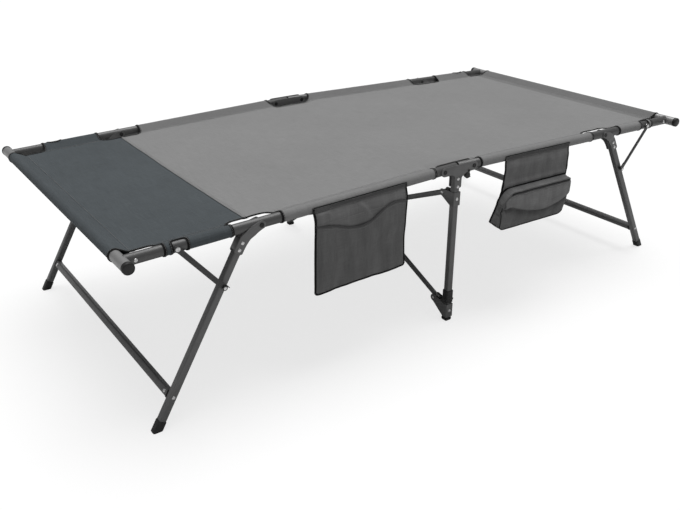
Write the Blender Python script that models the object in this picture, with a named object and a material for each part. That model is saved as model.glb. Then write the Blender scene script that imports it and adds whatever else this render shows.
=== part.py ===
"""Folding camp cot: two steel half frames on a middle frame, splayed leg frames with lift-off props,
a fabric bed and two side pockets.

Metres, +Z up. X runs from the head (-X) to the foot (+X), and the near side is -Y. The origin is on
the floor under the middle of the bed. Pieces are modelled once, in the quarter where X and Y are
positive, and mirrored into place.
"""
import math

import bmesh
import bpy
from mathutils import Matrix, Vector

# Clearances
SEAT = 0.0003  # between two faces that touch
SLIP = 0.0003  # all round a pin, a spigot or a sleeve

# Rails and end bars
BAR_SPAN = 2.0  # between the axes of the two end bars
RAIL_SPAN = 0.926  # between the centre planes of the two rails
RAIL_R = 0.014
RAIL_WALL = 0.0012
RAIL_END_Z = 0.479  # rail axis at the end bars
RAIL_MID_Z = 0.501  # rail axis at the middle
RAIL_GAP = 0.006  # between the inner ends of two rails
BAR_R = 0.0145
BAR_WALL = 0.0013
BAR_OVERHANG = 0.0355  # bar past the rail's centre plane
CAP_R = 0.0152
CAP_THICK = 0.0115
CAP_DOME = 0.003
CAP_FACE = 0.7  # share of the dome's height that its rim steps in
CAP_SPIGOT = 0.017
PLUG_LENGTH = 0.045  # the plug inside each rail's outer end
RAIL_REACH = 0.28  # share of the bar's radius that the rail stops short by
END_RIVET_INSET = 0.029  # from the bar's axis

# Saddles over the middle legs
SADDLE_PIN_X = 0.056
SADDLE_CHEEK_R = 0.0135  # cheek's round end about its pin
SADDLE_TOP = 0.0125  # cheek's top edge above the rail axis
SADDLE_NECK_X = 0.036  # where the lower edge starts to curve down
PLATE = 0.002  # thickness of every pressed bracket
TONGUE_WIDTH = 0.026
TONGUE_LENGTH = 0.046
TONGUE_CORNER = 0.005
TONGUE_WAIST = 0.45  # where the tongue's sides get straight, as a share of its length
JOGGLE_DROP = 0.009  # length of the step from the rail's width to the leg's
TONGUE_RIVETS = (0.012, 0.036)  # below the top of the middle leg
PIN_R = 0.004
PIN_HEAD_R = 0.0065
PIN_HEAD = 0.0015
RIVET_R = 0.0028
RIVET_HEAD_R = 0.0048
RIVET_HEAD = 0.0016
RIVET_TAIL = 0.002  # inside the wall that the rivet is set in
PIN_FACE = 0.75  # a pin head's face against its foot
RIVET_FACE = 0.6  # a rivet head's face against its foot

# Latch tabs beside the saddles
TAB_PIN_X = 0.036
TAB_PIN_DROP = 0.0122  # below the rail's axis
TAB_LUG_R = 0.005  # the cheek's lug round the pin
TAB_HEAD_R = 0.0036
TAB_THICK = 0.002
TAB_WIDTH = 0.018
TAB_DROP = 0.024
TAB_HEEL = 0.4  # where the tab's ends start to round, as shares of its drop
TAB_TOE = 0.25

# Square tube of the legs and cross bars
LEG_SIZE = 0.020
LEG_CORNER = 0.004
LEG_WALL = 0.0015
LEG_BORE_CORNER = 0.0028

# Middle legs
MID_LEG_LOW = 0.010
MID_LEG_TOP_GAP = 0.0040  # below the saddle's web
PAD_SIZE = 0.024
PAD_SPIGOT = 0.022
COLLAR_Z = 0.062
COLLAR_HEIGHT = 0.042
COLLAR_SIZE = 0.0245
FLANGE_SIZE = 0.0275
FLANGE_Z = 0.010  # flange above the collar's foot
FLANGE_HEIGHT = 0.005

# Crossing diagonals of the middle frame
BRACE_THICK = 0.0096
BRACE_WIDTH = 0.016
BRACE_WALL = 0.0012
BRACE_CORNER = 0.003
BRACE_GAP = 0.0005  # between the two where they cross
BRACE_END = 0.011  # tube past its rivet
BRACKET_R = 0.011  # bracket's round end about the rivet
BRACKET_WRAP = 0.6  # share of the leg's half width that the cheeks lap
LOW_BRACKET_Z = 0.0125
LOW_BRACKET_HEIGHT = 0.0455
LOW_BRACE_RISE = 0.0445  # diagonal's rivet above the bracket's foot
LOW_BRACE_INWARD = 0.053  # and inward of the leg's axis
HIGH_BRACKET_Z = 0.385
HIGH_BRACKET_HEIGHT = 0.0425
HIGH_BRACE_RISE = 0.030
HIGH_BRACE_INWARD = 0.040

# Splayed leg frames
LEG_PIN_X = 0.650
LEG_LEAN = math.radians(30.4)  # from upright
LEG_OFFSET = 0.027  # leg's axis from its pin
LEG_TOP = 0.042  # start of the tube along the leg
LEG_END_CUT = 0.012  # tube's end above the floor, along the leg
EAR_R = 0.0115
EAR_LENGTH = 0.088
EAR_MARGIN = 0.0022  # ear past the leg's side
EAR_RIVETS = (0.058, 0.0773)  # along the leg
EAR_JOGGLE = (0.030, 0.042)  # where the ears step in to the leg
EAR_CORNER = 0.006
EAR_LAP = 0.006  # ear's full width from the tube's end
EAR_WEB_LAP = 0.008
SHOE_SIZE = 0.023
SHOE_CORNER = 0.005
SHOE_LENGTH = 0.030
CROSS_HEIGHT = 0.084  # cross bar's axis above the floor
CROSS_FLANGE = 0.003
CROSS_FLANGE_SIZE = 0.022
CROSS_SPIGOT = 0.035
CROSS_RIVET_INSET = 0.017  # from the leg's inner face

# Lift-off props
PROP_PIN_X = 0.872
PROP_STUD_T = 0.175  # stud along the leg
PROP_GAP = 0.003  # prop's back from the rail's side
PROP_THICK = 0.002
PROP_WIDTH = 0.014
PROP_HEAD_R = 0.0085
PROP_BEAD_WIDTH = 0.005
PROP_BEAD = 0.0012
PROP_LIP = 0.012  # lip past the stud
PROP_LIP_WIDTH = 0.0045
PROP_LIP_SLOPE = 0.24
STUD_R = 0.0042
STUD_HEAD_R = 0.0068
STUD_HEAD = 0.002

# Fabric
CLOTH = 0.0008
FLAT_EDGE = 0.018  # flat cloth's edge inward of the rail's axis
RAIL_SLEEVE_STEPS = 13  # sides of the tube that the rail's sleeve covers
HEAD_SEAM_X = 0.660
SADDLE_NOTCH_X = 0.086
LEG_NOTCH = (0.590, 0.725)
PROP_NOTCH = (0.844, 0.887)
CORNER_NOTCH_X = 0.903
BAR_SLEEVE_STEPS = 12

# Side pockets
POCKET_OUT = 0.001  # inner face of the flat pocket from the stud's head
POCKET_THICK = 0.004
POCKET_BAND = 0.0015
POCKET_SHELF = 0.0175  # pocket's fold below the rail's axis
POCKET_FLAT_X = (0.197, 0.507)
POCKET_FLAT_LOW = 0.245
POCKET_POUCH_X = (0.184, 0.473)
POCKET_POUCH_LOW = 0.255
POUCH_DEPTH = 0.0185
POUCH_TOP = 0.400

ROUND = 16  # sides of a tube
PIN_ROUND = 10  # sides of a pin
RIVET_ROUND = 8  # sides of a rivet
CORNER_STEPS = 2

# Values that follow from the ones above
TUBE_SIDE = 2 * math.pi / ROUND
BAR_X = BAR_SPAN / 2
SIDE_Y = RAIL_SPAN / 2
BAR_LENGTH = RAIL_SPAN + 2 * BAR_OVERHANG
CHEEK_IN = RAIL_R + SEAT
CHEEK_OUT = CHEEK_IN + PLATE
LEG_HALF = LEG_SIZE / 2
TONGUE_IN = LEG_HALF + SEAT
TONGUE_OUT = TONGUE_IN + PLATE
BAR_Z = RAIL_END_Z
PROP_IN = RAIL_R + PROP_GAP
PROP_OUT = PROP_IN + PROP_THICK
STUD_TOP = PROP_OUT + PROP_BEAD + 2 * SEAT
STUD_OUT = STUD_TOP + STUD_HEAD
FLAT_POCKET_IN = SIDE_Y + STUD_OUT + POCKET_OUT
POUCH_IN = FLAT_POCKET_IN + POCKET_THICK + 2 * SEAT
BRACE_SHIFT = BRACE_THICK / 2 + BRACE_GAP


def rail_z(x):
    """Height of the rail's axis at a distance from the middle."""
    return RAIL_MID_Z + (RAIL_END_Z - RAIL_MID_Z) * x / BAR_X


WEB_TOP = rail_z(TONGUE_WIDTH / 2) - RAIL_R - SEAT
MID_LEG_HIGH = WEB_TOP - PLATE - MID_LEG_TOP_GAP
LEG_PIN = Vector((LEG_PIN_X, 0, rail_z(LEG_PIN_X)))
LEG_DOWN = Vector((math.sin(LEG_LEAN), 0, -math.cos(LEG_LEAN)))
LEG_OUT = Vector((math.cos(LEG_LEAN), 0, math.sin(LEG_LEAN)))
LEG_LENGTH = (LEG_PIN.z + LEG_OFFSET * math.sin(LEG_LEAN)) / math.cos(LEG_LEAN)
PROP_PIN = Vector((PROP_PIN_X, 0, rail_z(PROP_PIN_X)))


def leg_point(along, out, y=0.0):
    """Point of the leg's plane: along the leg from its pin, and out from the pin's line."""
    point = LEG_PIN + LEG_DOWN * along + LEG_OUT * out
    return Vector((point.x, y, point.z))


PROP_STUD = leg_point(PROP_STUD_T, LEG_OFFSET)
PROP_REACH = (PROP_STUD - PROP_PIN).length
PROP_DOWN = (PROP_STUD - PROP_PIN).normalized()
PROP_UP = Vector((PROP_DOWN.z, 0, -PROP_DOWN.x))


# Scene and materials
def clear_scene():
    for obj in list(bpy.data.objects):
        bpy.data.objects.remove(obj, do_unlink=True)


def material(name, color, roughness, metallic=0.0):
    made = bpy.data.materials.new(name)
    made.use_nodes = True
    shader = made.node_tree.nodes["Principled BSDF"]
    shader.inputs["Base Color"].default_value = (*color, 1.0)
    shader.inputs["Roughness"].default_value = roughness
    shader.inputs["Metallic"].default_value = metallic
    made.diffuse_color = (*color, 1.0)
    return made


def pivot(name, location):
    """An empty on a joint's axis, which carries that joint's pieces."""
    made = bpy.data.objects.new(name, None)
    made.empty_display_size = 0.03
    made.location = location
    bpy.context.scene.collection.objects.link(made)
    return made


def add(bm, name, finish, holder=None):
    """Makes the named object, with its origin on its holder."""
    if holder:
        bmesh.ops.translate(bm, verts=bm.verts, vec=-holder.location)
    mesh = bpy.data.meshes.new(name)
    bm.to_mesh(mesh)
    bm.free()
    mesh.materials.append(finish)
    mesh.shade_smooth()
    mesh.set_sharp_from_angle(angle=math.radians(35))
    made = bpy.data.objects.new(name, mesh)
    made.parent = holder
    bpy.context.scene.collection.objects.link(made)
    return made


# Shapes
def circle(radius, count=ROUND):
    turns = (2 * math.pi * i / count for i in range(count))
    return [(radius * math.cos(a), radius * math.sin(a)) for a in turns]


def arc(centre, radius, start, end, steps):
    """Points on an arc, with angles in degrees."""
    turns = (math.radians(start + (end - start) * i / steps) for i in range(steps + 1))
    return [(centre[0] + radius * math.cos(a), centre[1] + radius * math.sin(a)) for a in turns]


def curve(start, control, end, steps=5):
    """Points strictly inside a quadratic curve."""
    inside = []
    for i in range(1, steps):
        t = i / steps
        a, b, c = (1 - t) ** 2, 2 * t * (1 - t), t * t
        inside.append((a * start[0] + b * control[0] + c * end[0], a * start[1] + b * control[1] + c * end[1]))
    return inside


def rounded(width, height, corner):
    """A rectangle with round corners, about the origin."""
    x, y = width / 2 - corner, height / 2 - corner
    points = []
    for turn, (cx, cy) in enumerate(((x, y), (-x, y), (-x, -y), (x, -y))):
        points += arc((cx, cy), corner, 90 * turn, 90 * turn + 90, CORNER_STEPS)
    return points


def square(size, corner):
    return rounded(size, size, corner)


def ring_of(bm, section, origin, u, v):
    return [bm.verts.new(origin + u * a + v * b) for a, b in section]


def finished(bm):
    bmesh.ops.remove_doubles(bm, verts=bm.verts, dist=1e-6)
    bmesh.ops.recalc_face_normals(bm, faces=bm.faces)
    return bm


def loft(rings, u, v):
    """A solid through a list of (section, origin), closed at both ends."""
    bm = bmesh.new()
    loops = [ring_of(bm, section, origin, u, v) for section, origin in rings]
    bm.faces.new(loops[0])
    bm.faces.new(loops[-1])
    for low, high in zip(loops, loops[1:]):
        for i in range(len(low)):
            j = (i + 1) % len(low)
            bm.faces.new((low[i], low[j], high[j], high[i]))
    return finished(bm)


def prism(section, start, end, u, v):
    return loft([(section, start), (section, end)], u, v)


def tube(outer, inner, start, end, u, v):
    """An open tube between two points, from two sections with as many points each."""
    bm = bmesh.new()
    walls = [[ring_of(bm, s, p, u, v) for p in (start, end)] for s in (outer, inner)]
    count = len(outer)
    for i in range(count):
        j = (i + 1) % count
        for low, high in walls:
            bm.faces.new((low[i], low[j], high[j], high[i]))
        for end_index in (0, 1):
            out, into = walls[0][end_index], walls[1][end_index]
            bm.faces.new((out[i], out[j], into[j], into[i]))
    return finished(bm)


def turned(profile, origin, axis, count=RIVET_ROUND):
    """A solid of revolution from (radius, height) points that start and end on the axis."""
    bm = bmesh.new()
    axis = Vector(axis)
    side = axis.orthogonal().normalized()
    points = [bm.verts.new(Vector(origin) + axis * h + side * r) for r, h in profile]
    edges = [bm.edges.new(pair) for pair in zip(points, points[1:])]
    bmesh.ops.spin(
        bm, geom=points + edges, cent=origin, axis=axis, angle=2 * math.pi, steps=count, use_merge=True
    )
    return finished(bm)


def box(low, high):
    bm = bmesh.new()
    bmesh.ops.create_cube(bm, size=1.0)
    low, high = Vector(low), Vector(high)
    for vert in bm.verts:
        vert.co = low + Vector((vert.co[i] + 0.5) * (high - low)[i] for i in range(3))
    return finished(bm)


def rod(radius, low, high, count=RIVET_ROUND):
    """A cylinder between two points."""
    low, high = Vector(low), Vector(high)
    span = high - low
    return turned([(0, 0), (radius, 0), (radius, span.length), (0, span.length)], low, span.normalized(), count)


def combine(base, others, operation):
    """Cuts or joins closed shapes with a Boolean."""
    scratch = []
    for bm in [base] + list(others):
        mesh = bpy.data.meshes.new("shape")
        bm.to_mesh(mesh)
        bm.free()
        holder = bpy.data.objects.new("shape", mesh)
        bpy.context.scene.collection.objects.link(holder)
        scratch.append(holder)
    for other in scratch[1:]:
        modifier = scratch[0].modifiers.new("combine", "BOOLEAN")
        modifier.operation = operation
        modifier.solver = "EXACT"
        modifier.object = other
    graph = bpy.context.evaluated_depsgraph_get()
    result = bmesh.new()
    result.from_mesh(scratch[0].evaluated_get(graph).to_mesh())
    for holder in scratch:
        bpy.data.objects.remove(holder, do_unlink=True)
    bmesh.ops.remove_doubles(result, verts=result.verts, dist=1e-6)
    return result


def cut(base, *others):
    return combine(base, others, "DIFFERENCE")


def joined(base, *others):
    return combine(base, others, "UNION")


def mirrored(bm, x_side=1, y_side=1):
    """Takes a piece from the positive quarter to its own."""
    bmesh.ops.transform(bm, matrix=Matrix.Diagonal((x_side, y_side, 1, 1)), verts=bm.verts)
    if x_side * y_side < 0:
        bmesh.ops.reverse_faces(bm, faces=bm.faces)
    return bm


X, Y, Z = Vector((1, 0, 0)), Vector((0, 1, 0)), Vector((0, 0, 1))
SIDE = Y * SIDE_Y


def plate(outline, low, high, bends=(), u=X, v=Z, origin=None, axis=Y):
    """A pressed plate from an outline in the u-v plane, stepped out of plane between two bends.

    Each bend is a direction, a distance along it and the shift that the plate has from there on.
    """
    origin = origin or Vector()
    bm = bmesh.new()
    verts = [bm.verts.new(origin + u * a + v * b) for a, b in outline]
    bm.faces.new(verts)
    for direction, position, _ in bends:
        geometry = bm.verts[:] + bm.edges[:] + bm.faces[:]
        bmesh.ops.bisect_plane(bm, geom=geometry, plane_co=origin + direction * position, plane_no=direction)
    faces = bmesh.ops.extrude_face_region(bm, geom=bm.faces[:])
    raised = {e for e in faces["geom"] if isinstance(e, bmesh.types.BMVert)}
    for vert in bm.verts:
        shift = 0.0
        if bends:
            (direction, first, before), (_, last, after) = bends
            t = ((vert.co - origin).dot(direction) - first) / (last - first)
            shift = before + (after - before) * min(max(t, 0.0), 1.0)
        vert.co += axis * ((high if vert in raised else low) + shift)
    return finished(bm)


def pin(low, high, at, tail=False):
    """A rivet along +Y: a shank from low to high, a head at high, and one at low unless it has a tail."""
    foot = [] if tail else head_below(RIVET_HEAD_R, RIVET_FACE, RIVET_HEAD, low)
    profile = foot or [(0, low)]
    profile += [(RIVET_R, low), (RIVET_R, high)] + head_above(RIVET_HEAD_R, RIVET_FACE, RIVET_HEAD, high)
    return turned(profile, at, Y)


def head_above(radius, face, height, at):
    """Profile of a tapered head, from its foot to the axis."""
    return [(radius, at), (radius * face, at + height), (0, at + height)]


def head_below(radius, face, height, at):
    """The same head at a pin's lower end, from the axis to its foot."""
    return [(r, 2 * at - h) for r, h in reversed(head_above(radius, face, height, at))]


def hinge_pin(at):
    """A headed pin across both cheeks of a bracket and the rail between them."""
    reach = CHEEK_OUT + SEAT
    profile = head_below(PIN_HEAD_R, PIN_FACE, PIN_HEAD, -reach) + [(PIN_R, -reach), (PIN_R, reach)]
    profile += head_above(PIN_HEAD_R, PIN_FACE, PIN_HEAD, reach)
    return turned(profile, at, Y, PIN_ROUND)


def hole(at, low, high, radius):
    return rod(radius + SLIP, at + Y * low, at + Y * high, PIN_ROUND if radius == PIN_R else RIVET_ROUND)


# Half frames
def rail():
    """One rail with its pin holes, its outer end cut to fit the end bar."""
    start = rail_at(RAIL_GAP / 2)
    stop = rail_at(BAR_X - BAR_R * RAIL_REACH)
    body = tube(circle(RAIL_R), circle(RAIL_R - RAIL_WALL), start, stop, Y, Z)
    past = 2 * RAIL_R
    holes = [hole(rail_at(x), -past, past, PIN_R) for x in (SADDLE_PIN_X, LEG_PIN_X)]
    plug = rod(RAIL_R - RAIL_WALL / 2, rail_at(BAR_X - PLUG_LENGTH), stop, ROUND)
    rivet = pin(0, RAIL_R - SEAT, rail_at(BAR_X - END_RIVET_INSET), tail=True)
    body = cut(joined(body, plug), bar_cutter(), *holes)
    return joined(body, rivet, prop_pin())


def rail_at(x):
    return Vector((x, SIDE_Y, rail_z(x)))


def bar_cutter():
    low, high = SIDE_Y - 3 * RAIL_R, SIDE_Y + 3 * RAIL_R
    return rod(BAR_R + SEAT, (BAR_X, low, BAR_Z), (BAR_X, high, BAR_Z), 2 * ROUND)


def end_bar():
    half = Y * (BAR_LENGTH / 2)
    centre = Vector((BAR_X, 0, BAR_Z))
    return tube(circle(BAR_R), circle(BAR_R - BAR_WALL), centre - half, centre + half, X, Z)


def bar_cap():
    """Round cap with a domed face and a spigot in the bar."""
    end = BAR_LENGTH / 2
    spigot = BAR_R - BAR_WALL - SLIP
    low = end + SEAT
    top = low + CAP_THICK
    profile = [
        (0, end - CAP_SPIGOT), (spigot, end - CAP_SPIGOT), (spigot, low), (CAP_R, low),
        (CAP_R, top - CAP_DOME), (CAP_R - CAP_DOME * CAP_FACE, top), (0, top),
    ]
    return turned(profile, Vector((BAR_X, 0, BAR_Z)), Y, ROUND)


# Middle frame
def saddle_outline():
    """Cheek in the X-Z plane: along both rails, down to the tongue on the middle leg."""
    pin_at = (SADDLE_PIN_X, rail_z(SADDLE_PIN_X))
    lower = pin_at[1] - SADDLE_CHEEK_R
    neck = (SADDLE_NECK_X, lower)
    half = TONGUE_WIDTH / 2
    waist = (half, lower - TONGUE_LENGTH * TONGUE_WAIST)
    foot = lower - TONGUE_LENGTH
    right = [(0.0, RAIL_MID_Z + SADDLE_TOP)]
    right += arc(pin_at, SADDLE_CHEEK_R, 90, -90, 8)
    right += [neck] + curve(neck, (half, lower), waist) + [waist]
    right += arc((half - TONGUE_CORNER, foot + TONGUE_CORNER), TONGUE_CORNER, 0, -90, CORNER_STEPS)
    left = [(-x, z) for x, z in reversed(right[1:])]
    return right + left


def saddle():
    """Pressed saddle: two cheeks beside the rails, a web under them and tongues on the middle leg."""
    top = WEB_TOP - PLATE - JOGGLE_DROP * 0.5
    step = TONGUE_IN - CHEEK_IN
    cheeks = []
    for side in (-1, 1):
        bends = ((-Z, -top, 0.0), (-Z, -top + JOGGLE_DROP, side * step))
        low, high = sorted((side * CHEEK_IN, side * CHEEK_OUT))
        cheeks.append(plate(saddle_outline(), low + SIDE_Y, high + SIDE_Y, bends))
    half = TONGUE_WIDTH / 2 - 2 * SEAT
    reach = CHEEK_IN + PLATE / 2
    web = box((-half, SIDE_Y - reach, WEB_TOP - PLATE), (half, SIDE_Y + reach, WEB_TOP))
    lug = rod(TAB_LUG_R, TAB_PIN + Y * CHEEK_IN, TAB_PIN + Y * CHEEK_OUT)
    body = joined(cheeks[0], cheeks[1], web, lug)
    past = 2 * CHEEK_OUT
    holes = []
    for x in (-SADDLE_PIN_X, SADDLE_PIN_X):
        holes.append(hole(Vector((x, SIDE_Y, rail_z(SADDLE_PIN_X))), -past, past, PIN_R))
    holes.append(hole(TAB_PIN, 0, past, RIVET_R))
    return joined(cut(body, *holes), *(through_rivet(tongue_rivet_at(drop)) for drop in TONGUE_RIVETS))


def tongue_rivet_at(drop):
    return Vector((0, SIDE_Y, MID_LEG_HIGH - drop))


def saddle_pin():
    return hinge_pin(rail_at(SADDLE_PIN_X))


def through_rivet(at):
    """Rivet through both faces of a bracket and the leg between them."""
    return pin(SEAT - TONGUE_OUT, TONGUE_OUT - SEAT, at)


TAB_PIN = Vector((TAB_PIN_X, SIDE_Y, rail_z(TAB_PIN_X) - TAB_PIN_DROP))


def latch_tab():
    """Black thumb lever behind the saddle's outer cheek, with the pin that it turns on."""
    centre = (TAB_PIN.x, TAB_PIN.z)
    low = TAB_PIN.z - TAB_DROP
    outer, inner = TAB_PIN.x + TAB_WIDTH / 2, TAB_PIN.x - TAB_WIDTH / 2
    heel, toe = (outer, low + TAB_DROP * TAB_HEEL), (inner, low + TAB_DROP * TAB_TOE)
    outline = arc(centre, TAB_HEAD_R, 180, 0, 6)
    outline += [heel] + curve(heel, (outer, low), (TAB_PIN.x, low), 4) + [(TAB_PIN.x, low)]
    outline += curve((TAB_PIN.x, low), (inner, low), toe, 4) + [toe]
    back = SIDE_Y + CHEEK_IN - SEAT - TAB_THICK
    body = plate(outline, back, back + TAB_THICK)
    return joined(body, pin(CHEEK_IN - SEAT - TAB_THICK / 2, CHEEK_OUT + SEAT, TAB_PIN, tail=True))


def square_tube(start, end, u, v):
    bore = square(LEG_SIZE - 2 * LEG_WALL, LEG_BORE_CORNER)
    return tube(square(LEG_SIZE, LEG_CORNER), bore, start, end, u, v)


def middle_leg():
    body = square_tube(SIDE + Z * MID_LEG_LOW, SIDE + Z * MID_LEG_HIGH, X, Y)
    past = 2 * LEG_SIZE
    holes = [hole(tongue_rivet_at(drop), -past, past, RIVET_R) for drop in TONGUE_RIVETS]
    for foot, height in ((LOW_BRACKET_Z, LOW_BRACKET_HEIGHT), (HIGH_BRACKET_Z, HIGH_BRACKET_HEIGHT)):
        holes.append(hole(SIDE + Z * (foot + height / 2), 0, past, RIVET_R))
    return cut(body, *holes)


def middle_pad():
    """Rubber pad under the middle leg, with its spigot in the tube."""
    foot = MID_LEG_LOW - SEAT
    spigot = LEG_SIZE - 2 * LEG_WALL - 2 * SLIP
    wide, narrow = square(PAD_SIZE, LEG_CORNER), square(PAD_SIZE * 0.8, LEG_CORNER)
    body = loft([(narrow, SIDE), (wide, SIDE + Z * foot * 0.5), (wide, SIDE + Z * foot)], X, Y)
    stem = prism(square(spigot, LEG_BORE_CORNER), SIDE + Z * foot * 0.6, SIDE + Z * (foot + PAD_SPIGOT), X, Y)
    return joined(body, stem)


def collar():
    """Plastic collar round the middle leg, with a flange."""
    base, wide = square(COLLAR_SIZE, LEG_CORNER), square(FLANGE_SIZE, LEG_CORNER)
    levels = [
        (base, 0), (base, FLANGE_Z), (wide, FLANGE_Z), (wide, FLANGE_Z + FLANGE_HEIGHT),
        (base, FLANGE_Z + FLANGE_HEIGHT), (base, COLLAR_HEIGHT),
    ]
    body = loft([(section, SIDE + Z * (COLLAR_Z + rise)) for section, rise in levels], X, Y)
    bore = square(LEG_SIZE + 2 * SLIP, LEG_CORNER)
    return cut(body, prism(bore, SIDE, SIDE + Z * (COLLAR_Z + 2 * COLLAR_HEIGHT), X, Y))


def brace_bracket(low, height, rise, inward):
    """U bracket round the middle leg: its two cheeks reach in to the diagonal's rivet."""
    high = low + height
    tip = (SIDE_Y - inward, low + rise)
    leg_in = SIDE_Y - LEG_HALF * BRACKET_WRAP
    outer = SIDE_Y + TONGUE_OUT
    outline = [(outer, high), (outer, low), (leg_in, low)]
    outline += arc(tip, BRACKET_R, -90, -270, 8)
    outline += [(leg_in, high)]
    cheeks = [plate(outline, TONGUE_IN, TONGUE_OUT, u=Y, v=Z, axis=X * side) for side in (-1, 1)]
    web = box((-TONGUE_IN - PLATE / 2, SIDE_Y + TONGUE_IN, low), (TONGUE_IN + PLATE / 2, outer, high))
    body = joined(cheeks[0], cheeks[1], web)
    leg_rivet = pin(LEG_HALF - LEG_WALL - RIVET_TAIL, TONGUE_OUT - SEAT, SIDE + Z * (low + high) / 2, tail=True)
    return joined(body, cross_rivet(Vector((0, tip[0], tip[1])), TONGUE_OUT - SEAT, True), leg_rivet)


def brace_ends():
    """The diagonal that runs from the near foot up to the far top."""
    low = Vector((0, LOW_BRACE_INWARD - SIDE_Y, LOW_BRACKET_Z + LOW_BRACE_RISE))
    high = Vector((0, SIDE_Y - HIGH_BRACE_INWARD, HIGH_BRACKET_Z + HIGH_BRACE_RISE))
    return low, high


def brace():
    low, high = brace_ends()
    along = (high - low).normalized()
    across = X.cross(along)
    shift = X * BRACE_SHIFT
    outer = rounded(BRACE_THICK, BRACE_WIDTH, BRACE_CORNER)
    inner = rounded(BRACE_THICK - 2 * BRACE_WALL, BRACE_WIDTH - 2 * BRACE_WALL, BRACE_CORNER - BRACE_WALL)
    body = tube(outer, inner, low - along * BRACE_END + shift, high + along * BRACE_END + shift, X, across)
    past = X * 3 * BRACE_THICK
    holes = [rod(RIVET_R + SLIP, at - past, at + past) for at in (low, high, brace_cross())]
    return cut(body, *holes)


def brace_cross():
    """Where the two diagonals cross, at the middle of the bed."""
    low, high = brace_ends()
    return low + (high - low) * (-low.y / (high.y - low.y))


def cross_rivet(at, reach, bush=False):
    """A rivet along X, with a bush beside the diagonal where it sits in a bracket."""
    profile = head_below(RIVET_HEAD_R, RIVET_FACE, RIVET_HEAD, -reach) + [(RIVET_R, -reach)]
    if bush:
        profile += [(RIVET_R, -TONGUE_IN), (RIVET_R * 2, -TONGUE_IN), (RIVET_R * 2, 0), (RIVET_R, 0)]
    profile += [(RIVET_R, reach)] + head_above(RIVET_HEAD_R, RIVET_FACE, RIVET_HEAD, reach)
    return turned(profile, at, X)


# Splayed leg frames
def leg():
    start = leg_point(LEG_TOP, LEG_OFFSET, SIDE_Y)
    end = leg_point(LEG_LENGTH - LEG_END_CUT, LEG_OFFSET, SIDE_Y)
    body = square_tube(start, end, LEG_OUT, Y)
    past = 2 * LEG_SIZE
    holes = [hole(leg_point(t, LEG_OFFSET, SIDE_Y), -past, past, RIVET_R) for t in EAR_RIVETS]
    holes.append(hole(leg_point(CROSS_T, LEG_OFFSET, SIDE_Y), -past, past, RIVET_R))
    return joined(cut(body, *holes), prop_stud())


CROSS_T = LEG_LENGTH - CROSS_HEIGHT / math.cos(LEG_LEAN)


def ear_outline():
    """Ear in the leg's plane: round its pin, then curved down to the leg, which it laps."""
    near = LEG_OFFSET - LEG_HALF - EAR_MARGIN
    far = LEG_OFFSET + LEG_HALF + EAR_MARGIN
    lap = LEG_TOP + EAR_LAP
    corner = EAR_CORNER
    points = arc((0, 0), EAR_R, 130, 290, 8)
    points += curve(points[-1], (LEG_TOP * 0.6, 0.002), (lap, near)) + [(lap, near)]
    points += arc((EAR_LENGTH - corner, near + corner), corner, -90, 0, CORNER_STEPS)
    points += arc((EAR_LENGTH - corner, far - corner), corner, 0, 90, CORNER_STEPS)
    points += [(lap, far)]
    points += curve((lap, far), (EAR_R, far * 0.8), points[0])
    return points


def leg_bracket():
    """Pressed bracket: two ears beside the rail, stepped in to the leg, and a web across the leg."""
    ears = []
    step = TONGUE_IN - CHEEK_IN
    origin = LEG_PIN
    for side in (-1, 1):
        bends = ((LEG_DOWN, EAR_JOGGLE[0], 0.0), (LEG_DOWN, EAR_JOGGLE[1], side * step))
        low, high = sorted((side * CHEEK_IN, side * CHEEK_OUT))
        ears.append(
            plate(ear_outline(), low + SIDE_Y, high + SIDE_Y, bends, u=LEG_DOWN, v=LEG_OUT, origin=origin)
        )
    far = LEG_OFFSET + LEG_HALF
    reach = TONGUE_IN + PLATE / 2
    back = far + EAR_MARGIN - SEAT
    section = [(-reach, far + SEAT), (reach, far + SEAT), (reach, back), (-reach, back)]
    start, end = LEG_TOP + EAR_WEB_LAP, EAR_LENGTH - EAR_CORNER - 1e-3
    web = prism(section, leg_point(start, 0, SIDE_Y), leg_point(end, 0, SIDE_Y), Y, LEG_OUT)
    body = joined(ears[0], ears[1], web)
    past = 2 * CHEEK_OUT
    rivets = [through_rivet(leg_point(t, LEG_OFFSET, SIDE_Y)) for t in EAR_RIVETS]
    return joined(cut(body, hole(leg_point(0, 0, SIDE_Y), -past, past, PIN_R)), *rivets)


def leg_pin():
    return hinge_pin(leg_point(0, 0, SIDE_Y))


def shoe():
    """Plastic shoe over the leg's foot, cut level with the floor."""
    top = leg_point(LEG_LENGTH - SHOE_LENGTH, LEG_OFFSET, SIDE_Y)
    below = leg_point(LEG_LENGTH + SHOE_SIZE, LEG_OFFSET, SIDE_Y)
    body = prism(square(SHOE_SIZE, SHOE_CORNER), top, below, LEG_OUT, Y)
    geometry = body.verts[:] + body.edges[:] + body.faces[:]
    bmesh.ops.bisect_plane(body, geom=geometry, plane_co=Vector(), plane_no=-Z, clear_outer=True)
    bmesh.ops.edgeloop_fill(body, edges=[e for e in body.edges if e.is_boundary])
    finished(body)
    recess = prism(
        square(LEG_SIZE + 2 * SLIP, LEG_CORNER), leg_point(LEG_LENGTH - 2 * SHOE_LENGTH, LEG_OFFSET, SIDE_Y),
        leg_point(LEG_LENGTH - LEG_END_CUT + SEAT, LEG_OFFSET, SIDE_Y), LEG_OUT, Y,
    )
    return cut(body, recess)


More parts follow.
